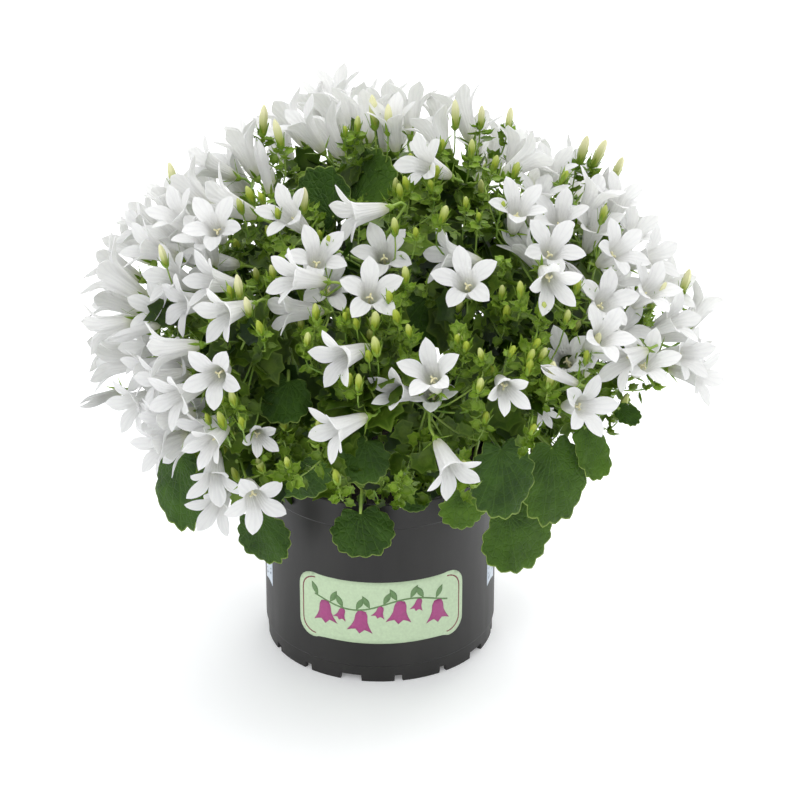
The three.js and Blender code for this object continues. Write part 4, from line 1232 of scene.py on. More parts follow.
def twigs_by_stem(stems):
    """The path of each twig, given to the stem whose branch is nearest to its tip. It leaves the
    branch outwards and turns up at its end."""
    draw = np.random.default_rng(23)
    twigs = {name: [] for name in stems}
    for tip, kind, youth in twig_tips():
        tip[2] = min(tip[2], TWIG_TOP)
        nearest = None
        for name, (_, branches) in stems.items():
            for branch in branches:
                inner = branch[len(branch) // 4 : -1]
                gaps = np.linalg.norm(inner - tip, axis=1)
                deeper = np.linalg.norm(inner - PLANT_HEART, axis=1)
                too_deep = deeper - np.linalg.norm(tip - PLANT_HEART) + DEEPER_FREE
                gaps = gaps + DEEPER_COST * np.maximum(0, too_deep)
                best = int(np.argmin(gaps))
                if nearest is None or gaps[best] < nearest[0]:
                    nearest = (gaps[best], name, inner[best])
        start = nearest[2]
        line = tip - start
        length = np.linalg.norm(line)
        if length < SHORTEST_TWIG:
            continue
        aside = TWIG_ASIDE * length * (draw.random(3) - 0.5)
        lean = unit(tip - PLANT_HEART) * 0.7 + 0.3 * (draw.random(3) - 0.5)
        aim = unit(lean + np.array((0, 0, 1.0)))
        before = tip - aim * min(TWIG_TURN_UP, 0.4 * length)
        middle = (start + before) / 2 + aside - np.array((0, 0, TWIG_SAG * length))
        twigs[nearest[1]].append((eased((start, middle, before, tip), 5), kind, youth))
    return twigs


def guide_of(name, paths):
    """Edges along paths, with the girth, the share of the way, the aim, the kind of bud and the
    room that the blooms leave."""
    points = []
    edges = []
    values = {"girth": [], "along": [], "aim": [], "tip": [], "room": []}
    for path, girths, shares, kind in paths:
        first = len(points)
        points += list(path)
        edges += [(first + k, first + k + 1) for k in range(len(path) - 1)]
        aim = np.gradient(path, axis=0)
        values["aim"] += list(aim / np.linalg.norm(aim, axis=1)[:, None])
        values["girth"] += list(np.linspace(*girths, len(path)) * MM)
        values["along"] += list(np.linspace(*shares, len(path)))
        values["tip"] += [NO_BUD] * (len(path) - 1) + [kind]
        values["room"] += [room_at(point) for point in path]
    return mesh_of(name, points, [], values, edges)


def small_leaf(wide, cup, droop, skew):
    """A small round leaf, one long, lying along Y with its face up: a thin cupped blade with seven
    teeth and a vein to each, on a short petiole."""
    points = []
    rims = []
    veins = []

    def add(reach, turn, lift, rim, vein):
        """Adds a point of the blade, and whether it is on the rim and on a vein."""
        x = wide * reach * math.cos(turn)
        y = LEAF_MIDDLE + reach * math.sin(turn)
        points.append((x + skew * y * y, y, lift + cup * reach * reach - droop * y * y))
        rims.append(rim)
        veins.append(vein)

    part = 2 * math.pi / LEAF_TEETH
    for k in range(LEAF_TEETH):
        turn = (k + 0.5) * part - math.pi / 2
        longer = TIP_TOOTH if k == LEAF_TEETH // 2 else 1
        add(TOOTH_REACH * longer, turn, 0.01, 1, 1)
        add(NOTCH_REACH if k == 0 else GAP_REACH, turn - part / 2, 0.05, 1, 0)
    for under in (0, LEAF_THICKNESS):
        for k in range(LEAF_TEETH):
            add(MIDDLE_REACH, (k + 0.5) * part - math.pi / 2, -under, 0, 1)
        add(0, 0, 0.01 - under, 0, 1)
    faces = []
    around = 2 * LEAF_TEETH
    for first, turned in ((around, False), (around + LEAF_TEETH + 1, True)):
        for k in range(LEAF_TEETH):
            n = (k + 1) % LEAF_TEETH
            gap = 2 * n + 1
            faces += [
                (first + LEAF_TEETH, first + k, first + n), (first + k, 2 * k, gap, first + n),
                (first + n, gap, 2 * n),
            ]
        if turned:
            faces[-3 * LEAF_TEETH :] = [face[::-1] for face in faces[-3 * LEAF_TEETH :]]
    stalk = len(points)
    for y, half in ((0, 0.022), (LEAF_MIDDLE, 0.016)):
        for x, drop in ((-half, 0.02), (half, 0.02), (0, 0.055)):
            points.append((x + skew * y * y, y, -drop - droop * y * y))
            rims.append(0)
            veins.append(1)
    for i, j in ((0, 1), (1, 2), (2, 0)):
        faces.append((stalk + j, stalk + i, stalk + 3 + i, stalk + 3 + j))
    faces += [(stalk, stalk + 1, stalk + 2), (stalk + 5, stalk + 4, stalk + 3)]
    mesh = bpy.data.meshes.new("small_leaf")
    mesh.from_pydata(points, [], faces)
    give(mesh, {"leaf_rim": np.array(rims, float), "leaf_vein": np.array(veins, float)})
    give(mesh, {"part": np.full(len(points), LEAF_PART)})
    crisp(mesh)
    return mesh


def crisp(mesh):
    """Smooth shading that stops at thin edges."""
    mesh.shade_smooth()
    mesh.set_sharp_from_angle(angle=math.radians(CRISP_FROM))


def turned_skin(rows, sides, ribs=0, rib_share=0.0):
    """Points and faces of a skin turned round Z from radius and height, closed at both ends."""
    points = []
    for radius, height in rows:
        for j in range(sides):
            turn = 2 * math.pi * j / sides
            around = radius * (1 + rib_share * math.cos(ribs * turn))
            points.append((around * math.cos(turn), around * math.sin(turn), height))
    return np.array(points), skin_faces(len(rows), sides)


def sepal(length, width, base, height, lean, turn):
    """A narrow pointed sepal as a slim closed spike, standing round a calyx."""
    outward = np.array((math.cos(turn), math.sin(turn), 0))
    across = np.array((-math.sin(turn), math.cos(turn), 0))
    up = np.array((0, 0, 1.0))
    points = []
    for t, share in ((0, 0.7), (0.35, 1.0), (0.7, 0.55), (1, 0.05)):
        spread = base + length * (math.sin(lean) * t + 0.12 * t * t)
        middle = outward * spread + up * (height + length * t * math.cos(lean))
        half = 0.5 * width * share
        points += [middle - across * half, middle + outward * 0.22, middle + across * half]
    faces = [(0, 1, 2), (11, 10, 9)]
    for k in range(3):
        for i in range(3):
            j = (i + 1) % 3
            a = 3 * k
            faces.append((a + j, a + i, a + 3 + i, a + 3 + j))
    return np.array(points), [tuple(reversed(face)) for face in faces]


def sepals(length, width, base, height, leans):
    """Five sepals round a calyx, each with its own lean."""
    turns = [2 * math.pi * (k + 0.5) / 5 for k in range(5)]
    spikes = [sepal(length, width, base, height, *aim) for aim in zip(leans, turns)]
    return [(spots, tiles, {"part": CALYX_PART}) for spots, tiles in spikes]


def put_together(name, shapes):
    """One mesh, a millimetre to a unit, from points, faces and the numbers of each shape."""
    points = []
    faces = []
    keys = sorted({key for shape in shapes for key in shape[2]})
    values = {key: [] for key in keys}
    for spots, tiles, numbers in shapes:
        first = len(points)
        points += [tuple(map(float, spot)) for spot in spots]
        faces += [[first + int(k) for k in tile] for tile in tiles]
        for key in keys:
            own = numbers.get(key, 0.0)
            values[key] += list(np.broadcast_to(own, len(spots)))
    mesh = bpy.data.meshes.new(name)
    mesh.from_pydata([[MM * x for x in point] for point in points], [], faces)
    give(mesh, values)
    crisp(mesh)
    return mesh


def bud(length, radius, ripe):
    """A closed bud, ribbed along its five seams, in a green calyx with five narrow sepals."""
    rows = [
        (0.6 * radius, 0.1), (0.86 * radius, 0.28), (radius, 0.55), (0.92 * radius, 0.72),
        (0.66 * radius, 0.87), (0.34 * radius, 0.96), (0.06 * radius, 1.0),
    ]
    body, tiles = turned_skin([(r, length * t) for r, t in rows], 10, 5, 0.09)
    cup_rows = ((0.5, 0), (0.6 * radius, 0.7), (0.92 * radius, 1.8), (0.9 * radius, 2.6))
    cup, cup_tiles = turned_skin(cup_rows, 8)
    shapes = [
        (body, tiles, {"part": BUD_PART, "ripe": ripe * body[:, 2] / length}),
        (cup, cup_tiles, {"part": CALYX_PART}),
    ]
    leans = [0.16 + 0.12 * (k % 2) for k in range(5)]
    return put_together("bud", shapes + sepals(6.5, 1.5, 0.9 * radius, 1.6, leans))


def number_of(tree, name, kind="FLOAT"):
    """A number or direction that the mesh holds under a name."""
    node = step(tree, "GeometryNodeInputNamedAttribute", {"Name": name}, data_type=kind)
    return node.outputs["Attribute"]


def sum_of(tree, kind, *values):
    """A vector sum, product or the like of two or three values."""
    return step(tree, "ShaderNodeVectorMath", dict(enumerate(values)), operation=kind).outputs[0]


def scaled_by(tree, vector, size):
    """A vector made longer or shorter."""
    node = step(tree, "ShaderNodeVectorMath", {0: vector, 3: size}, operation="SCALE")
    return node.outputs[0]


def reckoned(tree, kind, *values):
    """A number worked out from one to three numbers."""
    return step(tree, "ShaderNodeMath", dict(enumerate(values)), operation=kind).outputs[0]


def tubes(tree, lines, sides):
    """Round stems along lines, as thick as the guide says."""
    ring = step(tree, "GeometryNodeCurvePrimitiveCircle", {"Resolution": sides, "Radius": 1.0})
    feeds = {
        "Curve": lines, "Profile Curve": ring.outputs[0], "Scale": number_of(tree, "girth"),
        "Fill Caps": True,
    }
    return step(tree, "GeometryNodeCurveToMesh", feeds).outputs[0]


def leaves_on(tree, leaves, heart, lines, spacing, shares, sizes, seed):
    """Leaves at even steps along lines, each turned by the golden angle from the one before."""
    points = step(
        tree, "GeometryNodeCurveToPoints", {"Curve": lines, "Length": spacing}, mode="LENGTH"
    ).outputs["Points"]
    aim = number_of(tree, "aim", "FLOAT_VECTOR")
    place = step(tree, "GeometryNodeInputPosition").outputs[0]
    outward = sum_of(tree, "NORMALIZE", sum_of(tree, "SUBTRACT", place, heart))
    side = sum_of(tree, "NORMALIZE", sum_of(tree, "CROSS_PRODUCT", aim, outward))
    rise = sum_of(tree, "CROSS_PRODUCT", side, aim)
    index = step(tree, "GeometryNodeInputIndex").outputs[0]
    turn = reckoned(tree, "MULTIPLY_ADD", index, GOLDEN_TURN, any_number(tree, -0.4, 0.4, seed))
    round_side = scaled_by(tree, side, reckoned(tree, "COSINE", turn))
    round_rise = scaled_by(tree, rise, reckoned(tree, "SINE", turn))
    ahead = scaled_by(tree, aim, any_number(tree, *LEAF_AHEAD, seed + 1))
    way = sum_of(tree, "ADD", sum_of(tree, "ADD", round_side, round_rise), ahead)
    facing = scaled_by(tree, outward, LEAF_OUTWARD)
    face = sum_of(tree, "ADD", facing, scaled_by(tree, aim, LEAF_ALONG))
    face = sum_of(tree, "ADD", face, (0, 0, LEAF_UPWARD))
    face = sum_of(tree, "ADD", face, any_way(tree, -LEAF_TUMBLE, LEAF_TUMBLE, seed + 2))
    lie = laid(tree, way, face, "YZ")
    share = number_of(tree, "along")
    past = above(tree, share, shares[0])
    within = reckoned(tree, "MULTIPLY", past, above(tree, shares[1], share))
    free = above(tree, number_of(tree, "room"), LEAF_ROOM)
    within = reckoned(tree, "MULTIPLY", within, free)
    smaller = mapped(tree, share, shares[0], shares[1], sizes[0], sizes[1])
    size = reckoned(tree, "MULTIPLY", smaller, any_number(tree, *LEAF_UNEVEN, seed + 3))
    copies = copied(tree, points, leaves, lie, size, {"Selection": within})
    return tinted(tree, copies, seed + 4)


def tinted(tree, copies, seed):
    """Gives each copy a random tint, for its material to read."""
    feeds = {"Geometry": copies, "Name": "tint", "Value": any_number(tree, 0.0, 1.0, seed)}
    return step(tree, "GeometryNodeStoreNamedAttribute", feeds, domain="INSTANCE").outputs[0]


def laid(tree, first, second, axes):
    """The turn that lays a pattern's two named axes along two directions."""
    feeds = {0: first, 1: second}
    turn = step(
        tree, "FunctionNodeAxesToRotation", feeds, primary_axis=axes[0], secondary_axis=axes[1]
    )
    return turn.outputs[0]


def by_kind(tree, kind):
    """Picks the points whose kind isn't below zero, and the pattern of that kind."""
    index = step(tree, "FunctionNodeFloatToInt", {0: kind}).outputs[0]
    return {"Selection": above(tree, kind, -0.5), "Instance Index": index}


def upright(tree, way):
    """The turn that stands a pattern up along a direction."""
    node = step(tree, "FunctionNodeAlignRotationToVector", {"Vector": way}, axis="Z")
    return node.outputs[0]


def painted_parts(tree, shape, finishes):
    """Gives each numbered part of a shape its material."""
    for number, material in finishes:
        part = number_of(tree, "part")
        chosen = step(
            tree, "FunctionNodeCompare", {0: part, 1: float(number), 12: 0.3}, operation="EQUAL"
        ).outputs[0]
        feeds = {"Geometry": shape, "Selection": chosen, "Material": material}
        shape = step(tree, "GeometryNodeSetMaterial", feeds).outputs[0]
    return shape


def stem_tree():
    """Stems along the guide's lines, leaves and tufts on its twigs, and buds at their tips."""
    sizes = ("Largest Leaf", "Smallest Leaf", "Largest Inner Leaf", "Smallest Inner Leaf")
    inputs = {"Sides": "Int", "Heart": "Vector"}
    inputs.update(dict.fromkeys(("Leaves", "Inner Leaves", "Buds"), "Collection"))
    inputs.update(dict.fromkeys(("Spacing", "Tuft Spacing", "Inner Spacing", *sizes), "Float"))
    inputs.update(dict.fromkeys(("Stem", "Leaf", "Bud", "Calyx"), "Material"))
    tree, given, end = new_tree("leafy_stems", inputs)
    lines = step(tree, "GeometryNodeMeshToCurve", {0: given["Guide"]}).outputs[0]
    sizes = (given["Largest Leaf"], given["Smallest Leaf"])
    tuft = [reckoned(tree, "MULTIPLY", sizes[1], share) for share in TUFT_SIZES]
    inner = (given["Largest Inner Leaf"], given["Smallest Inner Leaf"])
    twig_kinds = (
        (given["Leaves"], given["Spacing"], LEAVES_ALONG, sizes, 10),
        (given["Leaves"], given["Tuft Spacing"], TUFT_ALONG, tuft, 20),
        (given["Inner Leaves"], given["Inner Spacing"], INNER_ALONG, inner, 30),
    )
    shapes = [tubes(tree, lines, given["Sides"])]
    for leaves, *rest in twig_kinds:
        shapes.append(leaves_on(tree, leaves, given["Heart"], lines, *rest))
    which = by_kind(tree, number_of(tree, "tip"))
    turn = upright(tree, number_of(tree, "aim", "FLOAT_VECTOR"))
    size = any_number(tree, *BUD_SIZES, 40)
    shapes.append(copied(tree, given["Guide"], given["Buds"], turn, size, which))
    finishes = (
        (STEM_PART, given["Stem"]), (LEAF_PART, given["Leaf"]), (BUD_PART, given["Bud"]),
        (CALYX_PART, given["Calyx"]),
    )
    painted = painted_parts(tree, made_real(tree, shapes), finishes)
    tree.links.new(painted, end.inputs[0])
    return tree


def kept(tree, name):
    """A number of the mesh, read by a material."""
    return step(tree, "ShaderNodeAttribute", attribute_name=name).outputs["Fac"]


def see_through(tree, shader, colour, share):
    """Lets a share of the light through a thin piece, in the given colour."""
    through = step(tree, "ShaderNodeBsdfTranslucent", {"Color": colour})
    feeds = {0: share, 1: shader.outputs[0], 2: through.outputs[0]}
    both = step(tree, "ShaderNodeMixShader", feeds)
    tree.links.new(both.outputs[0], tree.nodes["Material Output"].inputs["Surface"])


def patchy_finish(name, colours, patch_scale, rough, relief):
    """A material that wanders between two colours, with its roughness and its fine relief."""
    material, tree, shader = finish_of(name)
    patch = mapped(tree, grain(tree, patch_scale, 3), 0.35, 0.7)
    tree.links.new(mixed(tree, patch, *colours), shader.inputs["Base Color"])
    roughened(tree, shader, *rough)
    scale, stretch, strength, distance = relief
    embossed(tree, shader, grain(tree, scale, 2, (1, 1, stretch)), strength, distance)
    return material, tree, shader


def stem_finish():
    """Fresh green stem: smooth, a little paler in places."""
    greens = (STEM_GREEN, STEM_PALE)
    return patchy_finish("green_stem", greens, 120, (400, 0.4, 0.55), (900, 0.1, 0.3, 0.0003))[0]


def small_leaf_finish():
    """Small leaf: dark inside the plant, partly as older leaves are darker and partly as painted
    shade deep in the foliage, and bright young green at the shoots' tips, with pale veins and a
    pale edge; satin, and light shows through it."""
    material, tree, shader = finish_of("small_green_leaf")
    # Painted shade: leaves low on their twigs, deep in the plant, go towards the near-black dark
    # green; older inner leaves are partly darker too.
    outer = mapped(tree, kept(tree, "along"), 0.45, 1.0, -0.1, 0.5)
    young_and_lit = reckoned(tree, "MULTIPLY_ADD", kept(tree, "tint"), 0.5, outer)
    patch = mapped(tree, grain(tree, 300, 4), 0.35, 0.7, -0.08, 0.12)
    body = mixed(tree, reckoned(tree, "ADD", young_and_lit, patch), LEAF_DARK, LEAF_BRIGHT)
    vein = mapped(tree, kept(tree, "leaf_vein"), 0.84, 1.0, 0.0, 0.4)
    edge = mapped(tree, kept(tree, "leaf_rim"), 0.66, 0.95, 0.0, 0.8)
    pale = reckoned(tree, "MULTIPLY", reckoned(tree, "MAXIMUM", vein, edge), young_and_lit)
    tree.links.new(mixed(tree, pale, body, LEAF_EDGE), shader.inputs["Base Color"])
    roughened(tree, shader, 300, 0.38, 0.55)
    shader.inputs["Specular IOR Level"].default_value = 0.35
    embossed(tree, shader, grain(tree, 700, 3), 0.5, 0.0005)
    see_through(tree, shader, LEAF_LIGHT_THROUGH, 0.2)
    return material


def bud_finish():
    """Bud: waxy, yellow-green at its foot and cream at its tip."""
    material, tree, shader = finish_of("cream_bud")
    ripe = mapped(tree, kept(tree, "ripe"), 0.3, 1.0)
    tree.links.new(mixed(tree, ripe, BUD_GREEN, BUD_CREAM), shader.inputs["Base Color"])
    roughened(tree, shader, 300, 0.38, 0.55)
    embossed(tree, shader, grain(tree, 900, 2, (1, 1, 0.15)), 0.3, 0.0003)
    see_through(tree, shader, BUD_CREAM, 0.15)
    return material


def calyx_finish():
    """Calyx and sepals: bright green, a little paler at random."""
    material, tree, shader = patchy_finish(
        "green_calyx", (LEAF_BRIGHT, STEM_PALE), 260, (300, 0.4, 0.6), (900, 1, 0.3, 0.0003)
    )
    see_through(tree, shader, LEAF_LIGHT_THROUGH, 0.15)
    return material


every_bloom = [bloom for blooms in clusters.values() for bloom in blooms]
stem_ways = {name: stem_paths(*row) for name, row in STEMS.items()}
twigs = twigs_by_stem(stem_ways)
inner_leaves = kept_aside("inner_leaf", [small_leaf(*row) for row in INNER_LEAF_KINDS])
small_leaves = kept_aside("small_leaf", [small_leaf(*row) for row in SMALL_LEAF_KINDS])
buds = kept_aside("bud", [bud(*row) for row in BUD_SHAPES])
green_stem = stem_finish()
green_calyx = calyx_finish()
stems_tree = stem_tree()
leafy = {
    "Sides": STEM_SIDES, "Leaves": small_leaves, "Inner Leaves": inner_leaves, "Buds": buds,
    "Spacing": LEAF_SPACING, "Tuft Spacing": TUFT_SPACING, "Inner Spacing": INNER_SPACING,
    "Largest Leaf": LEAF_LARGEST, "Smallest Leaf": LEAF_SMALLEST,
    "Largest Inner Leaf": INNER_LARGEST, "Smallest Inner Leaf": INNER_SMALLEST,
    "Heart": in_frame(PLANT_HEART).tolist(), "Stem": green_stem, "Leaf": small_leaf_finish(),
    "Bud": bud_finish(), "Calyx": green_calyx,
}
for name, (trunk, branches) in stem_ways.items():
    paths = [(trunk, (STEM_GIRTH, BRANCH_GIRTH), (0, 0), NO_BUD)]
    paths += [(branch, (BRANCH_GIRTH, BRANCH_GIRTH), (-0.4, 0.5), NO_BUD) for branch in branches]
    for path, kind, youth in twigs[name]:
        paths.append((path, (TWIG_GIRTH, 0.7 * TWIG_GIRTH), (0.1, youth), kind))
    stem = grown(f"leafy_stem_{name}_dressed", guide_of(name, paths), stems_tree, leafy)
    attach(stem, "root")
    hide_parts(f"leafy_stem_{name}")

# The large leaves: round blades with a heart-shaped foot and blunt teeth, dark green with a thin
# pale edge and veins that fan out from the petiole, which arches up out of the soil.
PETIOLE_GIRTH = 0.85
PETIOLE_CIRCLE = 50
PETIOLE_RISE = 24
BLADE_TEETH = 13
BLADE_COLUMNS = 4
BLADE_ROWS = 10
BLADE_THICKNESS = 0.4
BLADE_WAVE = 1.3
FACING_SHARE = 0.7
TOOTH_DEPTH = 0.10
BLADE_DARK = (0.009, 0.030, 0.004, 1)
BLADE_GREEN = (0.036, 0.094, 0.009, 1)
# Painted light: the yellow-green glow of light shining through a blade.
BLADE_PAINTED_GLOW = (0.10, 0.20, 0.012, 1)
BLADE_VEIN = (0.085, 0.17, 0.022, 1)
BLADE_EDGE = (0.30, 0.42, 0.09, 1)
BLADE_LIGHT_THROUGH = (0.33, 0.56, 0.015, 1)
BLADE_HEART = 0.06
BLADE_CENTRE = 0.45
BLADE_CUP = 0.004
BLADE_UPWARD = 30
LEAST_PAINTED_GLOW = 0.1
# Painted light: how strongly each leaf shows a painted glow of light shining through it; the rest
# show the least.
PAINTED_GLOW_LEAVES = {
    "right_low": 1.0, "right_folded": 0.7, "right_hanging": 0.5, "right_outer": 0.4,
    "left_middle": 0.2, "top_front": 0.5,
}

# Each leaf: where the blade meets its petiole and where its tip is, each as a pixel of the front
# view and a distance behind the pot's axis, then its width, and its petiole's bearing in the soil.
LARGE_LEAVES = {
    "pot_front": (360, 510, -66, 366, 559, -76, 34, 262),
    "pot_left": (259, 513, -58, 268, 566, -60, 31, 226),
    "left_outer": (181, 452, -60, 176, 532, -66, 36, 200),
    "left_under": (292, 452, -88, 300, 501, -88, 38, 236),
    "left_middle": (368, 438, -118, 348, 482, -122, 32, 253),
    "left_dark": (290, 378, -96, 270, 422, -110, 32, 219),
    "left_inner": (262, 330, -48, 232, 385, -72, 30, 203),
    "centre": (430, 290, -60, 428, 347, -84, 38, 300),
    "top_front": (352, 206, 0, 378, 148, 12, 40, 100),
    "top_rear": (336, 222, -10, 306, 168, 6, 30, 130),
    "right_front": (500, 444, -114, 507, 522, -118, 33, 297),
    "right_low": (464, 492, -80, 462, 530, -82, 24, 280),
    "right_outer": (551, 442, -84, 560, 528, -92, 38, 318),
    "right_hanging": (506, 510, -66, 534, 568, -68, 43, 305),
    "right_folded": (584, 424, -78, 604, 482, -84, 20, 330),
    "pot_small": (413, 488, -70, 417, 513, -76, 17, 272),
    "right_small": (618, 408, -60, 640, 422, -64, 12, 342),
    "rear_left": (262, 420, 66, 258, 470, 84, 34, 134),
    "rear_middle": (390, 400, 72, 388, 450, 92, 36, 84),
    "rear_right": (500, 425, 66, 506, 475, 84, 34, 46),
}


def doubled(points, faces, thickness, values):
    """A thin closed blade from an open sheet: a second face behind it, and an edge between."""
    points = np.asarray(points, float)
    normals = np.zeros_like(points)
    uses = {}
    for face in faces:
        a, b, c = points[face[0]], points[face[1]], points[face[-1]]
        normal = np.cross(b - a, c - a)
        for corner, following in zip(face, (*face[1:], face[0])):
            normals[corner] += normal
            uses[(corner, following)] = True
    normals /= np.linalg.norm(normals, axis=1)[:, None] + 1e-12
    count = len(points)
    both = np.concatenate((points + normals * thickness / 2, points - normals * thickness / 2))
    rim = [(b, a, a + count, b + count) for a, b in uses if (b, a) not in uses]
    back = [tuple(count + k for k in reversed(face)) for face in faces]
    doubled_values = {key: np.tile(v, 2) for key, v in values.items()}
    doubled_values["behind"] = np.repeat((0.0, 1.0), count)
    return both, list(faces) + back + rim, doubled_values


def blade_sheet(length, width, seed):
    """A large leaf's flat sheet: along, across and lift of its points, with its veins' numbers."""
    draw = np.random.default_rng(seed)
    phase = 6 * draw.random(3)
    uneven = 0.1 * (draw.random(BLADE_TEETH) - 0.5)
    columns = BLADE_TEETH * BLADE_COLUMNS
    points = [(BLADE_HEART * length, 0, 0)]
    fan = [0.0]
    reach = [0.0]
    faces = []
    for j in range(columns + 1):
        share = j / columns
        turn = math.radians(-165 + 330 * share)
        tooth = share * BLADE_TEETH
        within = tooth - math.floor(tooth) if j < columns else 1.0
        own = uneven[min(BLADE_TEETH - 1, int(tooth))]
        bite = abs(2 * within - 1) ** 1.3
        edge = 1 - TOOTH_DEPTH * bite + own * (1 - bite)
        rim_u = BLADE_CENTRE + 0.55 * edge * math.cos(turn)
        rim_v = 0.5 * edge * math.sin(turn)
        for i in range(1, BLADE_ROWS + 1):
            t = i / BLADE_ROWS
            u = BLADE_HEART + (rim_u - BLADE_HEART) * t
            v = rim_v * t
            vein = math.exp(-(((within - 0.5) / 0.16) ** 2)) * (1 - 0.5 * t)
            lift = -0.16 * vein
            lift += BLADE_WAVE * t * t * math.sin(3 * turn + phase[0]) * 0.8
            lift += 0.5 * t**3 * math.sin(7 * turn + phase[1])
            lift += 0.35 * math.sin(9 * u + phase[2]) * math.sin(8 * v + phase[0])
            points.append((u * length, v * width, lift))
            fan.append(tooth)
            reach.append(t)
    for j in range(columns):
        a = 1 + j * BLADE_ROWS
        b = a + BLADE_ROWS
        faces.append((0, a, b))
        for i in range(BLADE_ROWS - 1):
            faces.append((a + i, a + i + 1, b + i + 1, b + i))
    return np.array(points), faces, {"fan": np.array(fan), "reach": np.array(reach)}


def large_leaf_mesh(name, row, seed):
    """A large leaf in its place: its cupped blade and its arched petiole."""
    notch_x, notch_y, notch_back, tip_x, tip_y, tip_back, width, bearing = row
    notch = at_depth(notch_x, notch_y, notch_back)
    tip = at_depth(tip_x, tip_y, tip_back)
    along = unit(tip - notch)
    length = np.linalg.norm(tip - notch)
    outward = notch - PLANT_HEART
    outward[2] = BLADE_UPWARD
    if notch[1] < BACK_HALF:
        outward = unit(outward) - FACING_SHARE * VIEW_FORWARD
    across = unit(np.cross(unit(outward), along))
    facing = unit(np.cross(along, across))
    sheet, faces, values = blade_sheet(length, width, seed)
    u, v, lift = sheet.T
    drop = lift - BLADE_CUP * (v * v + 0.5 * u * u)
    placed = notch + np.outer(u, along) + np.outer(v, across) + np.outer(drop, facing)
    points, tiles, numbers = doubled(placed, faces, BLADE_THICKNESS, values)
    above_soil = foot_on(bearing, PETIOLE_CIRCLE, SOIL_TOP + 2)
    top = max(notch[2], POT_HEIGHT) + PETIOLE_RISE
    arch = foot_on(bearing, PETIOLE_CIRCLE + 7, top)
    end = notch + along * 0.08 * length
    steps = np.linspace(0, 1, 12)[:, None]
    bow = (1 - steps) ** 2 * above_soil + 2 * steps * (1 - steps) * arch + steps**2 * end
    foot = foot_on(bearing, PETIOLE_CIRCLE, SOIL_HOLE_FLOOR)
    path = np.vstack((foot, bow))
    rod, rod_faces = rod_along(path, PETIOLE_GIRTH)
    first = len(points)
    tiles += [tuple(first + k for k in face) for face in rod_faces]
    numbers = {key: np.append(own, np.full(len(rod), -1.0)) for key, own in numbers.items()}
    return mesh_of(name, np.vstack((points, rod)), tiles, numbers), len(rod_faces)


def rod_along(path, girth, sides=6):
    """A round rod along a path, square to it and closed at both ends."""
    points = []
    side = unit(np.cross(path[1] - path[0], (0.3, 0.9, 0.1)))
    for k, spot in enumerate(path):
        ahead = unit(path[min(k + 1, len(path) - 1)] - path[max(k - 1, 0)])
        side = unit(side - ahead * (side @ ahead))
        across = np.cross(ahead, side)
        for j in range(sides):
            turn = 2 * math.pi * j / sides
            points.append(spot + girth * (side * math.cos(turn) + across * math.sin(turn)))
    return np.array(points), skin_faces(len(path), sides)


def netted(tree, scale, width):
    """A net of fine veins by the place in the frame: one on them and nothing between."""
    place = step(tree, "ShaderNodeTexCoord").outputs["Object"]
    feeds = {"Vector": place, "Scale": scale}
    cells = step(tree, "ShaderNodeTexVoronoi", feeds, feature="DISTANCE_TO_EDGE")
    return mapped(tree, cells.outputs["Distance"], 0.0, width, 1.0, 0.0)


def large_leaf_finish():
    """Large leaf: dark green, pale fan veins and edge, satin, with light through it; some leaves
    also carry a painted yellow-green glow of light shining through, stronger towards the edge.
    """
    material, tree, shader = finish_of("large_green_leaf")
    fan = kept(tree, "fan")
    reach = kept(tree, "reach")
    patch = mapped(tree, grain(tree, 70, 4), 0.3, 0.7)
    # Painted light: the glow of light through the blade, stronger towards its edge, as strong as
    # each leaf is given.
    outer = mapped(tree, reckoned(tree, "ADD", reach, patch), 0.4, 1.8, 0.2, 1.0)
    fresh = reckoned(tree, "MULTIPLY", kept(tree, "fresh"), outer)
    body = mixed(tree, fresh, mixed(tree, patch, BLADE_DARK, BLADE_GREEN), BLADE_PAINTED_GLOW)
    in_tooth = reckoned(tree, "FRACT", fan)
    off_main = reckoned(tree, "ABSOLUTE", reckoned(tree, "SUBTRACT", in_tooth, 0.5))
    off_main = reckoned(tree, "MULTIPLY", off_main, reach)
    main = mapped(tree, off_main, 0.008, 0.05, 0.7, 0.0)
    ripple = reckoned(tree, "MULTIPLY_ADD", reach, 46, reckoned(tree, "MULTIPLY", off_main, -60))
    side = mapped(tree, reckoned(tree, "SINE", ripple), 0.93, 1.0, 0.0, 0.3)
    net = netted(tree, 300, 0.15)
    fine = reckoned(tree, "MULTIPLY", net, 0.3)
    veins = reckoned(tree, "MAXIMUM", reckoned(tree, "MAXIMUM", main, side), fine)
    veined = mixed(tree, veins, body, BLADE_VEIN)
    edge = mapped(tree, reach, 0.972, 0.995)
    colour = mixed(tree, edge, veined, BLADE_EDGE)
    tree.links.new(colour, shader.inputs["Base Color"])
    roughened(tree, shader, 260, 0.42, 0.6)
    shader.inputs["Specular IOR Level"].default_value = 0.22
    raised = reckoned(tree, "ADD", veins, net)
    cells = reckoned(tree, "MULTIPLY_ADD", grain(tree, 320, 4), 0.8, raised)
    embossed(tree, shader, reckoned(tree, "MULTIPLY", cells, -1), 0.7, 0.0005)
    see_through(tree, shader, BLADE_LIGHT_THROUGH, 0.2)
    return material


large_green_leaf = large_leaf_finish()
for index, (name, row) in enumerate(LARGE_LEAVES.items()):
    mesh, rod_faces = large_leaf_mesh(f"large_leaf_{name}_dressed", row, 50 + index)
    # Each leaf's strength of painted glow of light through it.
    give(mesh, {"fresh": np.full(len(mesh.vertices), PAINTED_GLOW_LEAVES.get(name, LEAST_PAINTED_GLOW))})
    leaf = shown(f"large_leaf_{name}_dressed", mesh, large_green_leaf)
    mesh.materials.append(green_stem)
    for face in mesh.polygons[len(mesh.polygons) - rod_faces :]:
        face.material_index = 1
    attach(leaf, "root")
    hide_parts(f"large_leaf_{name}")

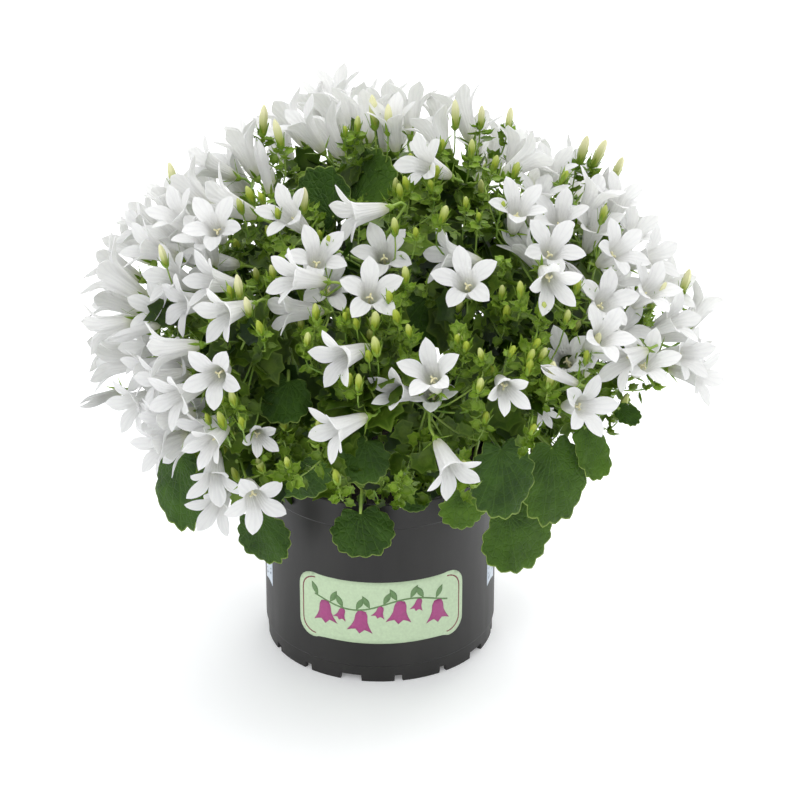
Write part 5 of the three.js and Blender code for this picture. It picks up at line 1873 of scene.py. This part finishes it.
# The blooms: thin white bells of five pointed lobes that open into a star, with a grey-green
# throat, a cream style and a green calyx, each on its own stalk from the cluster's short axis.
LOBES = 5
LOBE_LENGTH = 10.2
NOTCH_AT = 16.6
LOBE_COLUMNS = 6
TUBE_ROWS = 5
LOBE_ROWS = 8
PETAL_THICKNESS = 0.32
MOUTH_RADIUS = 6.3
CLOSED_MOUTH = 0.45
CLOSED_ANGLE = 8
OPENING_ANGLE = 58
BELL_FOOT = 1.6
BELL_FLOOR = 1.5
LOBE_BENDS_AT = 0.24
LOBE_BENDS_FAST = 12
LOBE_POINT = 0.35
LOBE_FINE_STEPS = 6
LOBE_KEEL = 0.75
LOBE_WAVE = 0.25
TIP_CURLS = 30
CLOSED_CURLS = 42
NEARLY_CLOSED = 0.2
PETAL_PART = 4
STYLE_PART = 5
BELL_RISE = 0.8
BELL_FLUTE = 0.09
STALK_GIRTH = 0.7
AXIS_GIRTH = 1.1
AXIS_LENGTH = 12
ROOTS_FROM = 0.2
ROOTS_SPAN = 0.7
STALK_BEND = 9
STALK_BEND_SHARE = 0.45
STYLE_HEIGHT = 12
OPENINGS = (0.05, 0.35, 0.6, 0.7, 0.8, 0.9, 1.0)
VARIANTS = 3
PETAL_WHITE = (0.88, 0.88, 0.885, 1)
PETAL_SHADE = (0.69, 0.68, 0.73, 1)
PETAL_FOOT = (0.74, 0.76, 0.46, 1)
THROAT_GREEN = (0.66, 0.70, 0.42, 1)
PETAL_LIGHT_THROUGH = (0.92, 0.92, 0.90, 1)
STYLE_CREAM = (0.82, 0.76, 0.50, 1)


def bell_way(openness):
    """Radius and height of the bell's wall, from its foot to a lobe's tip."""
    mouth = MOUTH_RADIUS * (CLOSED_MOUTH + (1 - CLOSED_MOUTH) * min(1, 2 * openness))
    angle = CLOSED_ANGLE + OPENING_ANGLE * openness
    way = []
    for k in range(TUBE_ROWS + 1):
        height = BELL_RISE + (NOTCH_AT - BELL_RISE) * k / TUBE_ROWS
        way.append((bell_radius(height / TUBE_LENGTH, mouth), height))
    total = TUBE_LENGTH - NOTCH_AT + LOBE_LENGTH
    radius, height = way[-1]
    first = math.degrees(math.atan(0.18 * (0.3 + openness)))
    steps = LOBE_ROWS * LOBE_FINE_STEPS
    for k in range(1, steps + 1):
        q = k / steps
        bend = 1 / (1 + math.exp(-(q - LOBE_BENDS_AT) * LOBE_BENDS_FAST))
        lean = first + (1.1 * angle - first) * bend + TIP_CURLS * openness * max(0, q - 0.6)
        if openness < NEARLY_CLOSED:
            lean -= CLOSED_CURLS * q
        radius = max(LOBE_POINT, radius + total / steps * math.sin(math.radians(lean)))
        height += total / steps * math.cos(math.radians(lean))
        if k % LOBE_FINE_STEPS == 0:
            way.append((radius, height))
    return way


def bell_radius(share, mouth):
    """The radius of the bell's wall at a share of its height."""
    swell = 0.3 * (1 - math.exp(-9 * share)) + 0.7 * share**1.5
    return BELL_FOOT + (mouth - BELL_FOOT) * swell


def lobe_width(q):
    """A lobe's width as a share of its fifth, from the notch to its tip."""
    return (1 - q**2.0) ** 1.05


def corolla(openness, seed):
    """The white bell as a thin closed shell, no two lobes quite alike."""
    draw = np.random.default_rng(seed)
    way = bell_way(openness)
    fifth = 2 * math.pi / LOBES
    around = LOBES * LOBE_COLUMNS
    points = []
    faces = []
    values = {"petal_way": [], "petal_side": [], "petal_rim": []}

    def add(radius, turn, height, way_share, side_share, rim_share):
        """Adds a point, with its shares of the way up, across its lobe and to the lobe's rim."""
        points.append((radius * math.cos(turn), radius * math.sin(turn), height))
        for key, share in zip(values, (way_share, side_share, rim_share)):
            values[key].append(share)
        return len(points) - 1

    for radius, height in way[: TUBE_ROWS + 1]:
        for j in range(around):
            side = 2 * (j % LOBE_COLUMNS) / LOBE_COLUMNS - 1
            flute = 1 - BELL_FLUTE * (1 - abs(side)) * (height / NOTCH_AT)
            turn = fifth * j / LOBE_COLUMNS
            add(radius * flute, turn, height, 0.5 * height / NOTCH_AT, side, 0.0)
    floor = add(0.0, 0.0, BELL_FLOOR, 0.0, 0.0, 0.0)
    for j in range(around):
        k = (j + 1) % around
        faces.append((floor, k, j))
        for i in range(TUBE_ROWS):
            a = i * around
            faces.append((a + j, a + k, a + around + k, a + around + j))
    ring = TUBE_ROWS * around
    for lobe in range(LOBES):
        lean = 0.16 * (draw.random() - 0.5)
        twist = 0.5 * (draw.random() - 0.5)
        curl = 1.4 * (draw.random() - 0.4) * openness
        longer = 1 + 0.1 * (draw.random() - 0.5)
        before = [ring + (lobe * LOBE_COLUMNS + j) % around for j in range(LOBE_COLUMNS + 1)]
        middle = fifth * (lobe + 0.5)
        foot_radius, foot_height = way[TUBE_ROWS]
        for i in range(1, LOBE_ROWS + 1):
            q = i / LOBE_ROWS
            radius, height = way[TUBE_ROWS + i]
            radius = foot_radius + (radius - foot_radius) * longer
            height = foot_height + (height - foot_height) * longer
            out = radius + lean * (height - foot_height) + curl * q * q
            up = height - lean * (radius - foot_radius) - 0.5 * curl * q * q
            if i == LOBE_ROWS:
                tip = add(out, middle, up, 1.0, 0.0, 1.0)
                faces += [(a, b, tip) for a, b in zip(before, before[1:])]
                break
            row = []
            for j in range(LOBE_COLUMNS + 1):
                side = 2 * j / LOBE_COLUMNS - 1
                width = lobe_width(q)
                turn = middle + 0.5 * fifth * side * width
                keel = LOBE_KEEL * (1 - side * side) * math.sin(math.pi * min(1, q * 1.1))
                keel *= openness
                wave = LOBE_WAVE * math.sin(7 * q + 3 * side + seed) * q
                r = out - 0.4 * keel + twist * side * q + wave * 0.5
                z = up - keel - 0.35 * twist * side * q + wave
                row.append(add(r, turn, z, 0.5 + 0.5 * q, side * width, abs(side)))
            for j in range(LOBE_COLUMNS):
                faces.append((before[j], before[j + 1], row[j + 1], row[j]))
            before = row
    points, faces, values = doubled(points, faces, PETAL_THICKNESS, values)
    return points, faces, {**values, "part": PETAL_PART}


def style_of():
    """The cream style with its three curled branches, deep in the bell."""
    height = STYLE_HEIGHT
    column, tiles = rod_along(np.array([(0, 0, z) for z in (2, 6, 10, height)], float), 0.6, 6)
    shapes = [(column, tiles, {"part": STYLE_PART})]
    for k in range(3):
        turn = 2 * math.pi * k / 3 + 0.3
        out = np.array((math.cos(turn), math.sin(turn), 0))
        up = np.array((0, 0, 1.0))
        path = np.array(
            [
                up * (height - 0.6), up * (height + 0.6) + out * 0.8,
                up * (height + 0.5) + out * 1.5, up * (height - 0.5) + out * 1.7,
            ]
        )
        branch, branch_tiles = rod_along(path, 0.5, 5)
        shapes.append((branch, branch_tiles, {"part": STYLE_PART}))
    return shapes


def bloom_pattern(name, openness, seed):
    """One whole bloom, standing on its stalk's end: calyx, sepals, bell and style."""
    cup_rows = ((0.6, -2.6), (1.3, -1.9), (1.95, -0.6), (2.1, 0.3), (1.8, 0.7))
    cup, cup_tiles = turned_skin(cup_rows, 10)
    shapes = [corolla(openness, seed), (cup, cup_tiles, {"part": CALYX_PART})]
    shapes += sepals(7, 1.6, 1.9, 0.1, [0.6 + 0.24 * ((seed + k) % 3) for k in range(5)])
    if openness > NEARLY_CLOSED:
        shapes += style_of()
    return put_together(name, shapes)


def cluster_tree():
    """A cluster's axis and stalks along the guide's lines, and a bloom at the end of each."""
    inputs = {"Sides": "Int", "Blooms": "Collection"}
    inputs.update(dict.fromkeys(("Stem", "Calyx", "Petal", "Style"), "Material"))
    tree, given, end = new_tree("bloom_cluster", inputs)
    lines = step(tree, "GeometryNodeMeshToCurve", {0: given["Guide"]}).outputs[0]
    face = number_of(tree, "face", "FLOAT_VECTOR")
    side = number_of(tree, "side", "FLOAT_VECTOR")
    lie = laid(tree, face, side, "ZX")
    which = by_kind(tree, number_of(tree, "kind"))
    size = number_of(tree, "size")
    blooms = tinted(tree, copied(tree, given["Guide"], given["Blooms"], lie, size, which), 3)
    real = made_real(tree, (tubes(tree, lines, given["Sides"]), blooms))
    finishes = (
        (STEM_PART, given["Stem"]), (CALYX_PART, given["Calyx"]), (PETAL_PART, given["Petal"]),
        (STYLE_PART, given["Style"]),
    )
    tree.links.new(painted_parts(tree, real, finishes), end.inputs[0])
    return tree


def cluster_guide(name, blooms):
    """The lines of a cluster's axis and stalks, with each bloom's kind, size, face and side."""
    hub, inward = hubs[name]
    top = hub - inward * AXIS_LENGTH
    points = []
    edges = []
    values = {key: [] for key in ("girth", "kind", "size", "face", "side")}

    def line(path, girth, kind, size, face, side):
        """Adds a line, with the numbers of the bloom at its end."""
        first = len(points)
        points.extend(path)
        edges.extend((first + k, first + k + 1) for k in range(len(path) - 1))
        values["kind"].extend([-1] * (len(path) - 1) + [kind])
        same = {"girth": girth * MM, "size": size, "face": face, "side": side}
        for key, value in same.items():
            values[key].extend([value] * len(path))

    line(eased((hub, top)), AXIS_GIRTH, -1, 1, inward, inward)
    for k, bloom in enumerate(blooms):
        root = hub + (top - hub) * (ROOTS_FROM + ROOTS_SPAN * k / len(blooms))
        base = bloom["base"]
        direction = bloom["direction"]
        bend = base - direction * min(STALK_BEND, STALK_BEND_SHARE * np.linalg.norm(base - root))
        level = np.argmin([abs(bloom["open"] - share) for share in OPENINGS])
        helper = np.array((0, 0, 1.0)) if abs(direction[2]) < 0.8 else np.array((1.0, 0, 0))
        side = unit(np.cross(helper, direction))
        other = np.cross(direction, side)
        side = side * math.cos(bloom["roll"]) + other * math.sin(bloom["roll"])
        kind = int(level) * VARIANTS + k % VARIANTS
        path = eased((root, bend, base - direction * 0.4 * bloom["scale"]), 4)
        line(path, STALK_GIRTH, kind, bloom["scale"], direction, side)
    return mesh_of(name, points, [], values, edges)


def petal_finish():
    """Petal: matt white, faintly lilac along its fine veins, with painted shade along the folds
    between them and a painted shade line at the lobes' rims, grey-green deep in the throat.
    """
    material, tree, shader = finish_of("white_petal")
    way = kept(tree, "petal_way")
    side = kept(tree, "petal_side")
    # Stripes along each lobe: partly its faint lilac veins, partly painted shade of the folds
    # between them.
    stripes = reckoned(tree, "SINE", reckoned(tree, "MULTIPLY", side, 15))
    uneven = grain(tree, 180, 3)
    veins = mapped(tree, reckoned(tree, "ADD", stripes, uneven), 0.9, 1.6, 0, 0.4)
    # Painted shade: a grey line along the lobes' rims.
    edge = mapped(tree, kept(tree, "petal_rim"), 0.86, 1.0, 0.0, 0.3)
    white = mixed(tree, reckoned(tree, "MAXIMUM", veins, edge), PETAL_WHITE, PETAL_SHADE)
    foot = mixed(tree, kept(tree, "behind"), PETAL_FOOT, THROAT_GREEN)
    depth = mapped(tree, kept(tree, "behind"), 0, 1, 0.2, 0.4)
    throat = step(tree, "ShaderNodeMapRange", {0: way, 1: 0.02, 2: depth, 3: 0.9, 4: 0.0})
    colour = mixed(tree, throat.outputs[0], white, foot)
    tree.links.new(colour, shader.inputs["Base Color"])
    roughened(tree, shader, 400, 0.5, 0.65)
    shader.inputs["Specular IOR Level"].default_value = 0.35
    height = reckoned(tree, "MULTIPLY_ADD", stripes, 0.3, uneven)
    embossed(tree, shader, height, 0.6, 0.0007)
    see_through(tree, shader, PETAL_LIGHT_THROUGH, 0.5)
    return material


def style_finish():
    """Style: matt cream, a little yellower in patches."""
    creams = (STYLE_CREAM, BUD_CREAM)
    return patchy_finish("cream_style", creams, 500, (300, 0.6, 0.8), (1800, 1, 0.5, 0.0002))[0]


bloom_meshes = [
    bloom_pattern(f"bloom_{level}_{variant}", openness, 7 * level + variant)
    for level, openness in enumerate(OPENINGS)
    for variant in range(VARIANTS)
]
bloom_patterns = kept_aside("bloom", bloom_meshes)
bloom_tree = cluster_tree()
dressed = {
    "Sides": STEM_SIDES, "Blooms": bloom_patterns, "Stem": green_stem, "Calyx": green_calyx,
    "Petal": petal_finish(), "Style": style_finish(),
}
for name, blooms in clusters.items():
    cluster = grown(f"blooms_{name}_dressed", cluster_guide(name, blooms), bloom_tree, dressed)
    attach(cluster, "root")
    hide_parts(f"blooms_{name}")
for patterns in (bloom_patterns, small_leaves, inner_leaves, buds):
    thrown_away(patterns)

# The picture: a plain white floor, a wide soft light above and to the right, a paler fill from the
# front left, a light behind that shines through the petals, and the camera at the height and
# distance of the photograph.
FLOOR_HALF = 6.0
FLOOR_WHITE = (0.93, 0.935, 0.95, 1)
FLOOR_GREY = (0.9, 0.9, 0.9, 1)
FLOOR_GLOW = 0.17
STUDIO_WHITE = (0.98, 0.99, 1, 1)
STUDIO_LIGHT = 0.97
LENS = 135
SENSOR = 36

# Each lamp: its place and its width in metres, its power in watts and its colour.
LAMPS = {
    "key_light": ((0.6, -0.1, 1.95), 1.3, 15, (1, 0.995, 0.98)),
    "back_light": ((0.3, 1.7, 1.15), 1.8, 28, (1, 1, 1)),
    "fill_light": ((-1.4, -1.4, 1.1), 1.3, 9, (0.98, 0.99, 1)),
}


def floor_finish():
    """Smooth white paper, a little grey at random, that glows faintly like a lit sweep."""
    material, tree, shader = finish_of("white_paper_floor")
    shade = mapped(tree, grain(tree, 3, 2), 0.3, 0.7, 0.0, 0.06)
    white = mixed(tree, shade, FLOOR_WHITE, FLOOR_GREY)
    tree.links.new(white, shader.inputs["Base Color"])
    shader.inputs["Roughness"].default_value = 0.9
    shader.inputs["Emission Color"].default_value = (1, 1, 1, 1)
    shader.inputs["Emission Strength"].default_value = FLOOR_GLOW
    return material


def soft_light(name, place, size, power, colour):
    """A square soft light that faces the plant."""
    lamp = bpy.data.lights.new(name, "AREA")
    lamp.size = size
    lamp.energy = power
    lamp.color = colour
    light = bpy.data.objects.new(name, lamp)
    light.location = place
    aim = (cad_low + cad_high) / 2 - light.location
    light.rotation_euler = aim.to_track_quat("-Z", "Y").to_euler()
    bpy.context.scene.collection.objects.link(light)


floor_mesh = bpy.data.meshes.new("floor")
corners = ((-1, -1), (1, -1), (1, 1), (-1, 1))
floor_points = [(FLOOR_HALF * x, FLOOR_HALF * y, 0) for x, y in corners]
floor_mesh.from_pydata(floor_points, [], [(0, 1, 2, 3)])
shown("floor", floor_mesh, floor_finish())

for name, lamp_values in LAMPS.items():
    soft_light(name, *lamp_values)

world = bpy.data.worlds.new("studio")
world.use_nodes = True
world.node_tree.nodes["Background"].inputs["Color"].default_value = STUDIO_WHITE
world.node_tree.nodes["Background"].inputs["Strength"].default_value = STUDIO_LIGHT
bpy.context.scene.world = world
bpy.context.scene.view_settings.view_transform = "Standard"

camera_data = bpy.data.cameras.new("camera")
camera_data.lens = LENS
camera_data.sensor_width = SENSOR
camera = bpy.data.objects.new("camera", camera_data)
camera.location = in_frame(VIEW_EYE)
camera.rotation_euler = (math.pi / 2 - VIEW_TILT, 0, 0)
bpy.context.scene.collection.objects.link(camera)
bpy.context.scene.camera = camera
